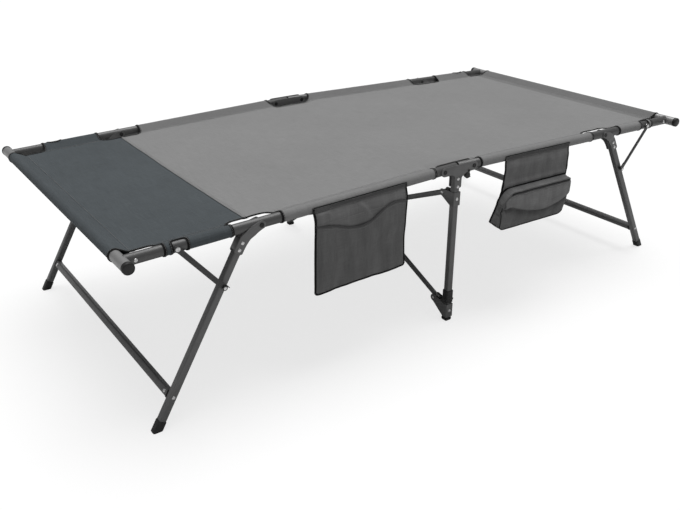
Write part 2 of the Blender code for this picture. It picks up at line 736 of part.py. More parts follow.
def cross_bar():
    """Cross bar between the legs, with a riveted plug at each end and a drain hole underneath."""
    half = SIDE_Y - LEG_HALF - SEAT - CROSS_FLANGE
    ends = [leg_point(CROSS_T, LEG_OFFSET, side * half) for side in (-1, 1)]
    body = square_tube(*ends, LEG_OUT, LEG_DOWN)
    middle = leg_point(CROSS_T, LEG_OFFSET)
    drain = rod(RIVET_R, middle, middle + LEG_DOWN * LEG_SIZE)
    plugs = [mirrored(shape, 1, side) for side in (-1, 1) for shape in cross_plug()]
    return joined(cut(body, drain), *plugs)


def cross_plug():
    """Corner plug between the leg and the cross bar, with its two rivets."""
    face = SIDE_Y - LEG_HALF - SEAT
    size = LEG_SIZE - LEG_WALL
    flange = prism(
        square(CROSS_FLANGE_SIZE, LEG_CORNER), leg_point(CROSS_T, LEG_OFFSET, face - CROSS_FLANGE - SEAT),
        leg_point(CROSS_T, LEG_OFFSET, face), LEG_OUT, LEG_DOWN,
    )
    spigot = prism(
        square(size, LEG_BORE_CORNER), leg_point(CROSS_T, LEG_OFFSET, face - CROSS_SPIGOT),
        leg_point(CROSS_T, LEG_OFFSET, face - CROSS_FLANGE / 2), LEG_OUT, LEG_DOWN,
    )
    on_leg = leg_point(CROSS_T, LEG_OFFSET, SIDE_Y)
    leg_rivet = pin(-LEG_HALF - CROSS_FLANGE / 2, LEG_HALF + SEAT, on_leg, tail=True)
    top = LEG_HALF - SEAT
    at = leg_point(CROSS_T, LEG_OFFSET, SIDE_Y - LEG_HALF - CROSS_RIVET_INSET)
    profile = [(0, 0), (RIVET_R, 0), (RIVET_R, top)] + head_above(RIVET_HEAD_R, RIVET_FACE, RIVET_HEAD, top)
    return [flange, spigot, leg_rivet, turned(profile, at, -LEG_OUT)]


def prop_stud():
    """Shouldered stud on the leg, which the prop hooks over."""
    low = LEG_HALF - LEG_WALL - RIVET_TAIL
    foot = LEG_HALF - SEAT
    profile = [
        (0, low), (RIVET_R, low), (RIVET_R, foot), (STUD_R, foot), (STUD_R, STUD_TOP), (STUD_HEAD_R, STUD_TOP),
        (STUD_HEAD_R * 0.8, STUD_OUT), (0, STUD_OUT),
    ]
    return turned(profile, leg_point(PROP_STUD_T, LEG_OFFSET, SIDE_Y), Y, PIN_ROUND)


# Props
def prop_outline():
    """Prop along its own axis: round head, straight strip, shoulder behind the stud and a lip over it."""
    half = PROP_WIDTH / 2
    shoulder = PROP_REACH - STUD_R - SLIP
    lip = STUD_R + SLIP
    tip = PROP_REACH + PROP_LIP
    rise = lip + PROP_LIP_SLOPE * (tip - PROP_REACH)
    top = lip + PROP_LIP_WIDTH
    points = arc((0, 0), PROP_HEAD_R, 60, 300, 10)
    points += [(PROP_HEAD_R * 1.4, -half), (shoulder, -half), (shoulder, lip), (PROP_REACH, lip), (tip, rise)]
    points += [(tip + 0.001, top - 0.001), (tip - 0.002, top), (shoulder - 0.012, top), (shoulder - 0.022, half)]
    points += [(PROP_HEAD_R * 1.4, half)]
    return points


def prop():
    """Pressed prop with a lengthwise bead, which turns on the rail and hooks over the leg's stud."""
    origin = PROP_PIN
    body = plate(
        prop_outline(), SIDE_Y + PROP_IN, SIDE_Y + PROP_OUT, u=PROP_DOWN, v=PROP_UP, origin=origin
    )
    start = PROP_PIN + PROP_DOWN * 2.4 * PROP_HEAD_R
    end = PROP_PIN + PROP_DOWN * (PROP_REACH - 4 * STUD_R)
    half = PROP_BEAD_WIDTH / 2
    low, high = SIDE_Y + PROP_IN + PROP_THICK / 2, SIDE_Y + PROP_OUT + PROP_BEAD
    section = [(-half, low), (half, low), (half * 0.5, high), (-half * 0.5, high)]
    bead = prism(section, start, end, PROP_UP, Y)
    body = joined(body, bead)
    return cut(body, hole(PROP_PIN + SIDE, 0, 2 * PROP_OUT, PIN_R))


def prop_pin():
    """Shouldered pin that carries the prop on the rail's outer side."""
    low = RAIL_R - RAIL_WALL - RIVET_TAIL
    seat = RAIL_R * 0.9
    back = PROP_IN - SEAT
    front = PROP_OUT + SEAT
    profile = [
        (0, low), (PIN_R, low), (PIN_R, seat), (PIN_HEAD_R, seat), (PIN_HEAD_R, back), (PIN_R, back),
        (PIN_R, front),
    ]
    profile += head_above(PIN_HEAD_R, PIN_FACE, PIN_HEAD, front)
    return turned(profile, PROP_PIN + SIDE, Y, PIN_ROUND)


# Fabric
def cloth_rows():
    """Points across half the bed, round the rail and in to the middle: y, height and facing."""
    radius = RAIL_R + SLIP + CLOTH / 2
    rows = []
    for i in range(RAIL_SLEEVE_STEPS, -1, -1):
        turn = TUBE_SIDE * i
        out = Vector((0, math.sin(turn), math.cos(turn)))
        rows.append((SIDE_Y + radius * out.y, radius * out.z, out))
    edge = SIDE_Y - FLAT_EDGE
    rows += [(edge * share, radius, Z) for share in (1.0, 0.6, 0.2)]
    return rows


def bed_cloth(start, end, notches, over_bar):
    """A sheet between two places along the bed, with sleeves on the rails except at the notches."""
    half_rows = cloth_rows()
    rows = half_rows + [(-y, rise, Vector((0, -out.y, out.z))) for y, rise, out in reversed(half_rows)]
    marks = sorted({start, end, *(x for notch in notches for x in notch if start < x < end)})
    if over_bar:
        marks.remove(end)
    stations = [(x, rail_z(x), None) for x in marks]
    if over_bar:
        radius = BAR_R + SLIP + CLOTH / 2
        for i in range(BAR_SLEEVE_STEPS + 1):
            turn = TUBE_SIDE * i
            out = Vector((math.sin(turn), 0, math.cos(turn)))
            stations.append((BAR_X + radius * out.x, BAR_Z + radius * out.z, out))
    bm = bmesh.new()
    outward = {}
    flat_from = RAIL_SLEEVE_STEPS + 1
    flat_to = len(rows) - RAIL_SLEEVE_STEPS - 2
    grid = []
    for x, z, on_bar in stations:
        line = []
        for y, rise, out in rows:
            vert = bm.verts.new((x, y, z + (0 if on_bar else rise)))
            outward[vert] = on_bar or out
            line.append(vert)
        grid.append(line)
    for index in range(len(stations) - 1):
        middle = (stations[index][0] + stations[index + 1][0]) / 2
        bare = stations[index + 1][2] is not None or any(low < middle < high for low, high in notches)
        for row in range(len(rows) - 1):
            if bare and not flat_from <= row < flat_to:
                continue
            a, b = grid[index][row], grid[index + 1][row]
            c, d = grid[index + 1][row + 1], grid[index][row + 1]
            bm.faces.new((a, b, c, d))
    return thickened(bm, outward)


def thickened(bm, outward):
    """Gives a sheet its thickness, half of it to either side."""
    for vert in [v for v in bm.verts if not v.link_faces]:
        del outward[vert]
        bm.verts.remove(vert)
    rim = [edge for edge in bm.edges if edge.is_boundary]
    faces = bm.faces[:]
    under = {vert: bm.verts.new(vert.co - out * CLOTH / 2) for vert, out in outward.items()}
    for vert, out in outward.items():
        vert.co += out * CLOTH / 2
    for face in faces:
        bm.faces.new([under[vert] for vert in reversed(face.verts)])
    for edge in rim:
        a, b = edge.verts
        bm.faces.new((a, b, under[b], under[a]))
    return finished(bm)


def pocket(span, low, inner, depth):
    """Side pocket that hangs from the rail's sleeve; depth is its swell below the pouch's top."""
    sleeve = pocket_seat()
    rings = []
    for x in span:
        axis = rail_z(x)
        shelf = axis - POCKET_SHELF
        section = [
            (sleeve, axis + POCKET_BAND), (sleeve, shelf + POCKET_BAND), (inner, shelf), (inner, low),
            (inner + depth, low), (inner + depth, POUCH_TOP), (inner + POCKET_THICK, shelf - POCKET_THICK),
            (inner + POCKET_THICK, shelf + POCKET_BAND), (sleeve + POCKET_BAND, shelf + 2 * POCKET_THICK),
            (sleeve + POCKET_BAND, axis + POCKET_BAND),
        ]
        rings.append((section, X * x))
    return loft(rings, Y, Z)


def pocket_seat():
    """Distance of the pockets' bands from the middle of the bed, just outside the rail's sleeve."""
    return SIDE_Y + RAIL_R + SLIP + CLOTH + 2 * SEAT


def pocket_pivot(name, span, way):
    """The line along the band's top that the pocket swings on."""
    middle = sum(span) / 2
    return pivot(f"{name}_pivot", Vector((way * middle, -pocket_seat(), rail_z(middle) + POCKET_BAND)))


def main():
    clear_scene()
    steel = material("grey_steel", (0.13, 0.13, 0.135), 0.45, 0.6)
    bar_steel = material("bar_steel", (0.28, 0.28, 0.29), 0.4, 0.7)
    zinc = material("rivet_zinc", (0.6, 0.6, 0.6), 0.3, 1.0)
    black_steel = material("black_pin", (0.03, 0.03, 0.03), 0.4, 0.6)
    plastic = material("black_plastic", (0.02, 0.02, 0.02), 0.5)
    bed_fabric = material("bed_fabric", (0.25, 0.25, 0.245), 0.9)
    head_fabric = material("head_fabric", (0.09, 0.105, 0.115), 0.9)
    pocket_fabric = material("pocket_fabric", (0.07, 0.07, 0.07), 0.9)
    sides = (("near", -1), ("far", 1))

    for name, side in sides:
        add(mirrored(saddle(), 1, side), f"saddle_{name}", steel)
        add(mirrored(middle_leg(), 1, side), f"middle_leg_{name}", steel)
        add(mirrored(middle_pad(), 1, side), f"middle_pad_{name}", plastic)
        add(mirrored(collar(), 1, side), f"collar_{name}", plastic)
        low_bracket = brace_bracket(LOW_BRACKET_Z, LOW_BRACKET_HEIGHT, LOW_BRACE_RISE, LOW_BRACE_INWARD)
        add(mirrored(low_bracket, -side, side), f"lower_bracket_{name}", steel)
        high_bracket = brace_bracket(HIGH_BRACKET_Z, HIGH_BRACKET_HEIGHT, HIGH_BRACE_RISE, HIGH_BRACE_INWARD)
        add(mirrored(high_bracket, side, side), f"upper_bracket_{name}", steel)
    add(brace(), "diagonal_near", steel)
    add(mirrored(brace(), -1, -1), "diagonal_far", steel)
    add(cross_rivet(brace_cross(), BRACE_SHIFT + BRACE_THICK / 2 + SEAT), "diagonal_rivet", zinc)
    for name, side in sides:
        at = pivot(f"latch_{name}_pivot", Vector((TAB_PIN.x, side * TAB_PIN.y, TAB_PIN.z)))
        add(mirrored(latch_tab(), 1, side), f"latch_tab_{name}", plastic, at)

    notches = ((0, SADDLE_NOTCH_X), LEG_NOTCH, PROP_NOTCH, (CORNER_NOTCH_X, BAR_X))
    for end, way in (("head", -1), ("foot", 1)):
        half = pivot(f"{end}_half_pivot", Vector((way * SADDLE_PIN_X, 0, rail_z(SADDLE_PIN_X))))
        legs = pivot(f"{end}_legs_pivot", Vector((way * LEG_PIN.x, 0, LEG_PIN.z)))
        for name, side in sides:
            add(mirrored(rail(), way, side), f"{end}_rail_{name}", steel, half)
            add(mirrored(leg(), way, side), f"{end}_leg_{name}", steel, legs)
            at = pivot(f"{end}_prop_{name}_pivot", Vector((way * PROP_PIN.x, side * SIDE_Y, PROP_PIN.z)))
            add(mirrored(prop(), way, side), f"{end}_prop_{name}", steel, at)
            add(mirrored(bar_cap(), way, side), f"{end}_bar_cap_{name}", plastic, half)
            add(mirrored(saddle_pin(), way, side), f"{end}_saddle_pin_{name}", black_steel)
            add(mirrored(leg_pin(), way, side), f"{end}_leg_pin_{name}", black_steel, half)
            add(mirrored(leg_bracket(), way, side), f"{end}_leg_bracket_{name}", steel, legs)
            add(mirrored(shoe(), way, side), f"{end}_shoe_{name}", plastic, legs)
        add(mirrored(end_bar(), way), f"{end}_bar", bar_steel, half)
        add(mirrored(cross_bar(), way), f"{end}_cross_bar", steel, legs)
        if way < 0:
            cloth = bed_cloth(SEAT, HEAD_SEAM_X - SEAT, notches, False)
            add(mirrored(cloth, way), "bed_cloth_head", bed_fabric, half)
            cloth = bed_cloth(HEAD_SEAM_X + SEAT, BAR_X, notches, True)
            add(mirrored(cloth, way), "head_panel", head_fabric, half)
            bag = pocket(POCKET_FLAT_X, POCKET_FLAT_LOW, FLAT_POCKET_IN, POCKET_THICK)
            at = pocket_pivot("organiser_pocket", POCKET_FLAT_X, way)
            add(mirrored(bag, way, -1), "organiser_pocket", pocket_fabric, at)
        else:
            cloth = bed_cloth(SEAT, BAR_X, notches, True)
            add(mirrored(cloth, way), "bed_cloth_foot", bed_fabric, half)
            bag = pocket(POCKET_POUCH_X, POCKET_POUCH_LOW, POUCH_IN, POUCH_DEPTH)
            at = pocket_pivot("zip_pocket", POCKET_POUCH_X, way)
            add(mirrored(bag, way, -1), "zip_pocket", pocket_fabric, at)


main()
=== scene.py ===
"""Dresses the folding camp cot: steel frame, woven bed, side pockets and a plain studio.

Metres, +Z up. X runs from the head (-X) to the foot (+X), and the near side is -Y. Frame pieces are
shaped once, in the quarter where X and Y are positive, and mirrored to their own.
"""

import math

import bmesh
import bpy
from bpy.props import FloatProperty, FloatVectorProperty, PointerProperty
from mathutils import Matrix, Vector, noise


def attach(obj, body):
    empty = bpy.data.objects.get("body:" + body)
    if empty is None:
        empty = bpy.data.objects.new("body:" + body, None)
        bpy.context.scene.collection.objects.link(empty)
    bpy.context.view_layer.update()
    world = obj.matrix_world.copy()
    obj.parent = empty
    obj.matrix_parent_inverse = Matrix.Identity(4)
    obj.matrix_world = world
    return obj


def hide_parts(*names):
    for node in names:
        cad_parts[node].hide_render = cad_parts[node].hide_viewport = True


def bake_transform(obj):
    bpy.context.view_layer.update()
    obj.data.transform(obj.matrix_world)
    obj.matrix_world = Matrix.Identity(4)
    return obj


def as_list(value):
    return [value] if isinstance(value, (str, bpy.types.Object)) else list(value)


bl_info = {
    "name": "Camp cot",
    "version": (1, 0, 0),
    "blender": (4, 5, 0),
    "location": "3D View > Sidebar > Camp cot",
    "description": "Makes a folding camp cot's frame, cloth and pockets, and the studio that shows them",
    "category": "Object",
}

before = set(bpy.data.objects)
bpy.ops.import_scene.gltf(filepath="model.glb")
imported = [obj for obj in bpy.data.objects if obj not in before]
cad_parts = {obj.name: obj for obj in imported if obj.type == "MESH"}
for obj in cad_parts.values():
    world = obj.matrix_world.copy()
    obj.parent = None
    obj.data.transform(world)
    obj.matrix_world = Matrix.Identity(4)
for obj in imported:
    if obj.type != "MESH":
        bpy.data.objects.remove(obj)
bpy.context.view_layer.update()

# Rails and end bars
BAR_X = 1.0
SIDE_Y = 0.463
RAIL_END_Z = 0.479
RAIL_MID_Z = 0.501
RAIL_R = 0.014
BAR_R = 0.0145
RAIL_START = 0.003
RAIL_RIVET_X = BAR_X - 0.029
BAR_END_Y = 0.4985
CAP_R = 0.0152
CAP_THICK = 0.0115

# Saddles and latch tabs
SADDLE_PIN_X = 0.056
CHEEK_IN = 0.0143
PLATE = 0.002
TONGUE_IN = 0.0103
TONGUE_HALF = 0.013
TONGUE_LENGTH = 0.046
WEB_HALF = 0.0113
WEB_TOP = 0.4864
MID_LEG_HIGH = 0.4804
CHEEK_FOOT_X = 0.036
TAB_PIN = Vector((CHEEK_FOOT_X, SIDE_Y, 0.488))

# Square tube, and the rivets and pins beside it
LEG_HALF = 0.010
LEG_CORNER = 0.004
LEG_WALL = 0.0015
RIVET_SEAT = 0.0124
PIN_HALF = 0.0166
PIN_R = 0.004

# Splayed leg frames
LEG_PIN_X = 0.650
LEG_LEAN = math.radians(30.4)
LEG_OFFSET = 0.027
LEG_TOP = 0.042
CROSS_HEIGHT = 0.084
EAR_LENGTH = 0.088
EAR_RIVETS = (0.058, 0.0773)

# Lift-off props
PROP_PIN_X = 0.872
PROP_STUD_T = 0.175
PROP_IN = 0.017
PROP_THICK = 0.002

# Diagonals of the middle frame
BRACE_LOW = Vector((0.0, -0.410, 0.057))
BRACE_HIGH = Vector((0.0, 0.423, 0.415))
BRACE_SHIFT = 0.0053
BRACE_FACE = 0.0104

# Cloth, measured on the flat cut: x along the bed, s across it
SLEEVE_R = 0.0151
BAR_SLEEVE_R = 0.0156
SEAM_S = 0.430
SEAM_END = 0.966
HEM_FOLD = 0.014
HEAD_SEAM = -0.662
SLEEVE_TILT = math.asin(SLEEVE_R / (SIDE_Y - SEAM_S))
BAR_TILT = math.asin(BAR_SLEEVE_R / (BAR_X - SEAM_END))
SLEEVE_RAMP = (SIDE_Y - SEAM_S) * math.cos(SLEEVE_TILT)
BAR_RAMP = (BAR_X - SEAM_END) * math.cos(BAR_TILT)
S_WRAP = SEAM_S + SLEEVE_RAMP
S_TURN = S_WRAP + SLEEVE_R * (math.pi + 2 * SLEEVE_TILT)
S_MEET = S_TURN + SLEEVE_RAMP
S_END = S_MEET + HEM_FOLD
X_WRAP = SEAM_END + BAR_RAMP
X_TURN = X_WRAP + BAR_SLEEVE_R * (math.pi + 2 * BAR_TILT)
X_MEET = X_TURN + BAR_RAMP
X_END = X_MEET + HEM_FOLD
# Cut-outs of the sleeves: from and to along the bed, start across it, corner radius, slack
CUTS = (
    (-0.086, 0.086, 0.4395, 0.024, 0.0110),
    (0.590, 0.725, 0.4165, 0.028, 0.0),
    (0.845, 0.881, 0.4655, 0.010, 0.0),
    (0.903, 1.400, 0.4255, 0.020, 0.0),
)

# Side pockets
POCKET_R = 0.0163
POCKET_START = math.radians(74)
POCKET_BEND = POCKET_R * (math.pi / 2 - POCKET_START)
POCKET_Y = 0.4888
FOLDED_STUD_X = 0.4745
FLAT_X = (-0.502, -0.197)
FLAT_LENGTH = 0.2434
SCOOP = (
    (0.0, 0.190), (0.2, 0.238), (0.36, 0.305), (0.5, 0.322), (0.6, 0.300), (0.69, 0.232), (0.79, 0.175),
    (0.89, 0.168), (1.0, 0.192),
)
POUCH_X = (0.186, 0.470)
POUCH_WIDTH = 0.284
POUCH_LENGTH = 0.1920
POUCH_LEAN = 0.2045
POUCH_TOP = -0.099
POUCH_FOOT = -0.200
POUCH_RISE = 0.0060
POUCH_BACK_Y = -POCKET_Y - 0.0012
LEFT_LEAN = ((0.0, 0.0), (0.15, 0.0085), (0.3, 0.0145), (0.55, 0.022), (1.0, 0.060))
RIGHT_LEAN = ((0.0, 0.0), (0.12, 0.007), (0.25, 0.0105), (0.5, 0.013), (0.75, 0.038), (1.0, 0.069))
FLAP_DROOP = ((0.0, 0.30), (0.10, 0.42), (0.33, 0.60), (0.58, 0.68), (0.80, 0.61), (1.0, 0.44))
FLAP_TOP = 0.075
ZIP_OUT = Vector((0, -0.7, 0.7))

# Camera, fitted to the photograph's angle: a lens of so many pixels over a picture of such a width
CAMERA_AT = (-1.49969, -2.01934, 1.23985)
CAMERA_YAW, CAMERA_PITCH = math.radians(54.9276), math.radians(-25.4846)
LENS_PIXELS, PICTURE_PIXELS, SENSOR = 783.48, 680.0, 36.0
SUN_WAY = Vector((-0.55, -0.40, -2.6))

# Edges turned by more than this many degrees stay sharp
SHARP = 38
# Looks that go into another look's slot
SLOTS = {
    "shaded_rail_steel": "grey_steel", "dark_strip": "grey_steel", "pocket_front": "pocket_fabric",
    "band_tape": "pocket_fabric",
}

X, Y, Z = Vector((1, 0, 0)), Vector((0, 1, 0)), Vector((0, 0, 1))
SIDE = Y * SIDE_Y
SIDES = (("near", -1), ("far", 1))
ENDS = (("head", -1), ("foot", 1))


def rail_z(x):
    return RAIL_MID_Z + (RAIL_END_Z - RAIL_MID_Z) * abs(x) / BAR_X


def rail_at(x):
    return Vector((x, SIDE_Y, rail_z(x)))


LEG_PIN = Vector((LEG_PIN_X, 0, rail_z(LEG_PIN_X)))
LEG_DOWN = Vector((math.sin(LEG_LEAN), 0, -math.cos(LEG_LEAN)))
LEG_OUT = Vector((math.cos(LEG_LEAN), 0, math.sin(LEG_LEAN)))
LEG_LENGTH = (LEG_PIN.z + LEG_OFFSET * math.sin(LEG_LEAN)) / math.cos(LEG_LEAN)
CROSS_T = LEG_LENGTH - CROSS_HEIGHT / math.cos(LEG_LEAN)


def leg_point(along, out, y=0.0):
    """Point of the leg's plane: along the leg from its pin, and out from the pin's line."""
    point = LEG_PIN + LEG_DOWN * along + LEG_OUT * out
    return Vector((point.x, y, point.z))


PROP_PIN = Vector((PROP_PIN_X, 0, rail_z(PROP_PIN_X)))
PROP_STUD = leg_point(PROP_STUD_T, LEG_OFFSET)
PROP_REACH = (PROP_STUD - PROP_PIN).length
PROP_DOWN = (PROP_STUD - PROP_PIN).normalized()
PROP_UP = Vector((PROP_DOWN.z, 0, -PROP_DOWN.x))


def grey(value):
    """Linear colour of a screen grey from 0 to 255."""
    part = value / 255
    return (part / 12.92 if part <= 0.04045 else ((part + 0.055) / 1.055) ** 2.4,) * 3


# Sizes and colours that can be changed
def colour(name, about, value):
    return FloatVectorProperty(
        name=name, description=about, default=value, subtype="COLOR", size=3, min=0.0, max=1.0
    )


def length(name, about, value, high, low=0.0):
    return FloatProperty(name=name, description=about, default=value, min=low, max=high, unit="LENGTH")


def number(name, about, value, high, low=0.0, kind="NONE"):
    return FloatProperty(name=name, description=about, default=value, min=low, max=high, subtype=kind)


class CotFrameFinish(bpy.types.PropertyGroup):
    steel: colour("Steel", "Powder coat of the rails, legs and brackets", grey(102))
    bar: colour("End bars", "Satin coat of the two end bars", grey(148))
    plastic: colour("Plastic", "Caps, shoes, collars and latch tabs", grey(24))
    rivet: colour("Rivets", "Bright metal of the rivets", grey(238))
    pin: colour("Pins", "Blackened steel of the hinge pins", grey(40))
    wear: number("Edge wear", "How far the coat has worn along edges", 0.35, 1.0, kind="FACTOR")
    edge: length("Edge round", "Rounding of pressed edges", 0.00045, 0.002)


class CotClothFinish(bpy.types.PropertyGroup):
    bed: colour("Bed cloth", "Mid grey of the bed", grey(135))
    head: colour("Head panel", "Dark blue grey of the head panel", (0.072, 0.083, 0.090))
    pocket: colour("Pockets", "Charcoal of the side pockets", grey(110))
    binding: colour("Binding", "Tape over the raw edges", grey(20))
    thread: colour("Thread", "Sewing thread on the bed", grey(158))
    dark_thread: colour("Dark thread", "Sewing thread on the head panel and the pockets", grey(128))
    threads: number("Threads per metre", "Yarns of the weave in one metre", 900.0, 3000.0, 100.0)
    sag: length("Sag", "How far the bed dips in the middle", 0.004, 0.03)
    wrinkle: length("Wrinkle", "Height of the light wrinkles", 0.0011, 0.01)
    stitch: length("Stitch", "Length of one stitch", 0.0032, 0.01, 0.001)
    gap: length("Stitch gap", "Gap between two stitches", 0.0013, 0.01, 0.0005)


class CotStageLook(bpy.types.PropertyGroup):
    floor: colour("Floor", "Pale floor", (0.82, 0.82, 0.82))
    key: number("Key light", "Strength of the large soft light overhead", 2.5, 20.0)
    fill: number("Sky light", "Strength of the light all round", 0.28, 3.0)


# Shader helpers
def socket_in(tree, socket, value):
    if isinstance(value, bpy.types.NodeSocket):
        tree.links.new(value, socket)
    elif value is not None:
        socket.default_value = value


def maths(tree, operation, a, b=None):
    node = tree.nodes.new("ShaderNodeMath")
    node.operation = operation
    for socket, value in zip(node.inputs, (a, b)):
        socket_in(tree, socket, value)
    return node.outputs[0]


def times(tree, a, b):
    return maths(tree, "MULTIPLY", a, b)


def noise_at(tree, vector, scale, detail=3.0, stretch=None):
    if stretch:
        mapping = tree.nodes.new("ShaderNodeMapping")
        mapping.inputs["Scale"].default_value = stretch
        tree.links.new(vector, mapping.inputs["Vector"])
        vector = mapping.outputs[0]
    node = tree.nodes.new("ShaderNodeTexNoise")
    tree.links.new(vector, node.inputs["Vector"])
    node.inputs["Scale"].default_value = scale
    node.inputs["Detail"].default_value = detail
    return node.outputs["Fac"]


def ramp(tree, value, low, high, to_low=0.0, to_high=1.0):
    node = tree.nodes.new("ShaderNodeMapRange")
    ends = (("Value", value), ("From Min", low), ("From Max", high), ("To Min", to_low), ("To Max", to_high))
    for name, end in ends:
        socket_in(tree, node.inputs[name], end)
    return node.outputs[0]


def mottle(tree, vector, scale, detail, low, high, stretch=None):
    """Noise taken to a range, as a factor for a colour or as a roughness."""
    return ramp(tree, noise_at(tree, vector, scale, detail, stretch), 0.3, 0.7, low, high)


def shaded(tree, base, factor):
    """Base colour made lighter or darker by a factor about 1."""
    node = tree.nodes.new("ShaderNodeVectorMath")
    node.operation = "SCALE"
    socket_in(tree, node.inputs[0], base)
    socket_in(tree, node.inputs["Scale"], factor)
    return node.outputs[0]


def mixed(tree, factor, a, b):
    """Colour a turned by a factor into the fixed colour b."""
    node = tree.nodes.new("ShaderNodeMix")
    node.data_type = "RGBA"
    socket_in(tree, node.inputs["Factor"], factor)
    for name, value in (("A", a), ("B", (*b, 1.0))):
        socket_in(tree, next(s for s in node.inputs if s.name == name and s.type == "RGBA"), value)
    return next(s for s in node.outputs if s.type == "RGBA")


def new_group(name, ins, outs):
    """A group that takes a vector and the named numbers, and puts out the named numbers."""
    tree = bpy.data.node_groups.new(name, "ShaderNodeTree")
    tree.interface.new_socket("Vector", in_out="INPUT", socket_type="NodeSocketVector")
    for way, labels in (("INPUT", ins), ("OUTPUT", outs)):
        for label in labels:
            tree.interface.new_socket(label, in_out=way, socket_type="NodeSocketFloat")
    ends = tree.nodes.new("NodeGroupInput").outputs, tree.nodes.new("NodeGroupOutput").inputs
    return tree, ends[0]["Vector"], *ends


def weave_group():
    """Plain weave: yarns over and under each other, with slubs and slow shade."""
    tree, spot, ins, outs = new_group("Plain weave", ("Threads",), ("Height", "Shade", "Slow shade"))
    split = tree.nodes.new("ShaderNodeSeparateXYZ")
    tree.links.new(spot, split.inputs[0])
    half_turns = times(tree, ins["Threads"], math.pi)
    along, across = (maths(tree, "SINE", times(tree, split.outputs[i], half_turns)) for i in range(2))
    over = maths(tree, "GREATER_THAN", times(tree, along, across), 0.0)
    up = times(tree, over, maths(tree, "ABSOLUTE", along))
    down = times(tree, maths(tree, "SUBTRACT", 1.0, over), maths(tree, "ABSOLUTE", across))
    height = maths(tree, "ADD", up, down)
    slubs = [noise_at(tree, spot, 1.0, 2.0, stretch) for stretch in ((18.0, 640.0, 1.0), (640.0, 18.0, 1.0))]
    fine = ramp(tree, maths(tree, "ADD", *slubs), 0.6, 1.4, 0.86, 1.14)
    tree.links.new(height, outs["Height"])
    # Painted shade: the weave is lighter where its yarns stand high and darker in its hollows; the slubs are
    # the yarn's own tone
    tree.links.new(times(tree, fine, ramp(tree, height, 0.0, 1.0, 0.9, 1.05)), outs["Shade"])
    tree.links.new(mottle(tree, spot, 3.2, 4.0, 0.965, 1.035), outs["Slow shade"])


def coat_group():
    """Powder coat: orange peel, fine speckle and worn edges."""
    tree, spot, ins, outs = new_group("Powder coat", ("Edge", "Wear"), ("Height", "Shade", "Worn"))
    tree.links.new(noise_at(tree, spot, 900.0, 2.0), outs["Height"])
    speck, cloud = mottle(tree, spot, 2600.0, 1.0, 0.90, 1.12), mottle(tree, spot, 22.0, 4.0, 0.94, 1.06)
    tree.links.new(times(tree, speck, cloud), outs["Shade"])
    reach = maths(tree, "SUBTRACT", 0.72, times(tree, ins["Wear"], 0.3))
    chips = ramp(tree, noise_at(tree, spot, 160.0, 5.0), reach, maths(tree, "ADD", reach, 0.08))
    tree.links.new(times(tree, ins["Edge"], chips), outs["Worn"])


def moulded_group():
    """Moulded plastic: fine spark-eroded grain with faint flow marks."""
    tree, spot, ins, outs = new_group("Moulded grain", ("Edge",), ("Height", "Shade", "Rub"))
    tree.links.new(noise_at(tree, spot, 1500.0, 2.0), outs["Height"])
    tree.links.new(mottle(tree, spot, 60.0, 4.0, 0.88, 1.14), outs["Shade"])
    tree.links.new(times(tree, ins["Edge"], ramp(tree, noise_at(tree, spot, 240.0), 0.45, 0.7)), outs["Rub"])


def new_material(name):
    made = bpy.data.materials.new(name)
    made.use_nodes = True
    return made, made.node_tree, made.node_tree.nodes["Principled BSDF"]


def dress(tree, shader, base, rough, height=None, strength=0.0, distance=0.0):
    """Wires a colour, a roughness and a bump into a shader."""
    tree.links.new(base, shader.inputs["Base Color"])
    tree.links.new(rough, shader.inputs["Roughness"])
    if height:
        node = tree.nodes.new("ShaderNodeBump")
        node.inputs["Strength"].default_value = strength
        node.inputs["Distance"].default_value = distance
        tree.links.new(height, node.inputs["Height"])
        tree.links.new(node.outputs[0], shader.inputs["Normal"])


def on_object(tree):
    return tree.nodes.new("ShaderNodeTexCoord").outputs["Object"]


def attribute(tree, name):
    node = tree.nodes.new("ShaderNodeAttribute")
    node.attribute_name = name
    return node.outputs["Fac"]


def placed(tree, group, **inputs):
    node = tree.nodes.new("ShaderNodeGroup")
    node.node_tree = bpy.data.node_groups[group]
    for name, value in inputs.items():
        socket_in(tree, node.inputs[name], value)
    return node.outputs


def coated_steel(name, base, rough, metallic):
    made, tree, shader = new_material(name)
    wear = bpy.context.scene.cot_frame.wear
    coat = placed(tree, "Powder coat", Vector=on_object(tree), Edge=attribute(tree, "edge"), Wear=wear)
    bare = tuple(min(1.0, c * 2.4 + 0.06) for c in base)
    worn = mixed(tree, coat["Worn"], shaded(tree, base, coat["Shade"]), bare)
    dull = ramp(tree, coat["Shade"], 0.85, 1.15, rough + 0.06, rough - 0.06)
    shader.inputs["Metallic"].default_value = metallic
    dress(tree, shader, worn, dull, coat["Height"], 0.22, 0.0004)
    return made


def moulded_plastic(name, base):
    made, tree, shader = new_material(name)
    grain = placed(tree, "Moulded grain", Vector=on_object(tree), Edge=attribute(tree, "edge"))
    pale = tuple(c * 3 + 0.01 for c in base)
    rubbed = mixed(tree, times(tree, grain["Rub"], 0.5), shaded(tree, base, grain["Shade"]), pale)
    dull = ramp(tree, grain["Shade"], 0.85, 1.15, 0.58, 0.42)
    dress(tree, shader, rubbed, dull, grain["Height"], 0.25, 0.0003)
    return made


def bright_metal(name, base, rough):
    made, tree, shader = new_material(name)
    spot = on_object(tree)
    brushed = noise_at(tree, spot, 1100.0)
    tarnish = ramp(tree, noise_at(tree, spot, 210.0, 4.0), 0.3, 0.75, 0.72, 1.05)
    dull = ramp(tree, brushed, 0.3, 0.7, rough - 0.08, rough + 0.12)
    shader.inputs["Metallic"].default_value = 1.0
    dress(tree, shader, shaded(tree, base, tarnish), dull, brushed, 0.15, 0.0003)
    return made


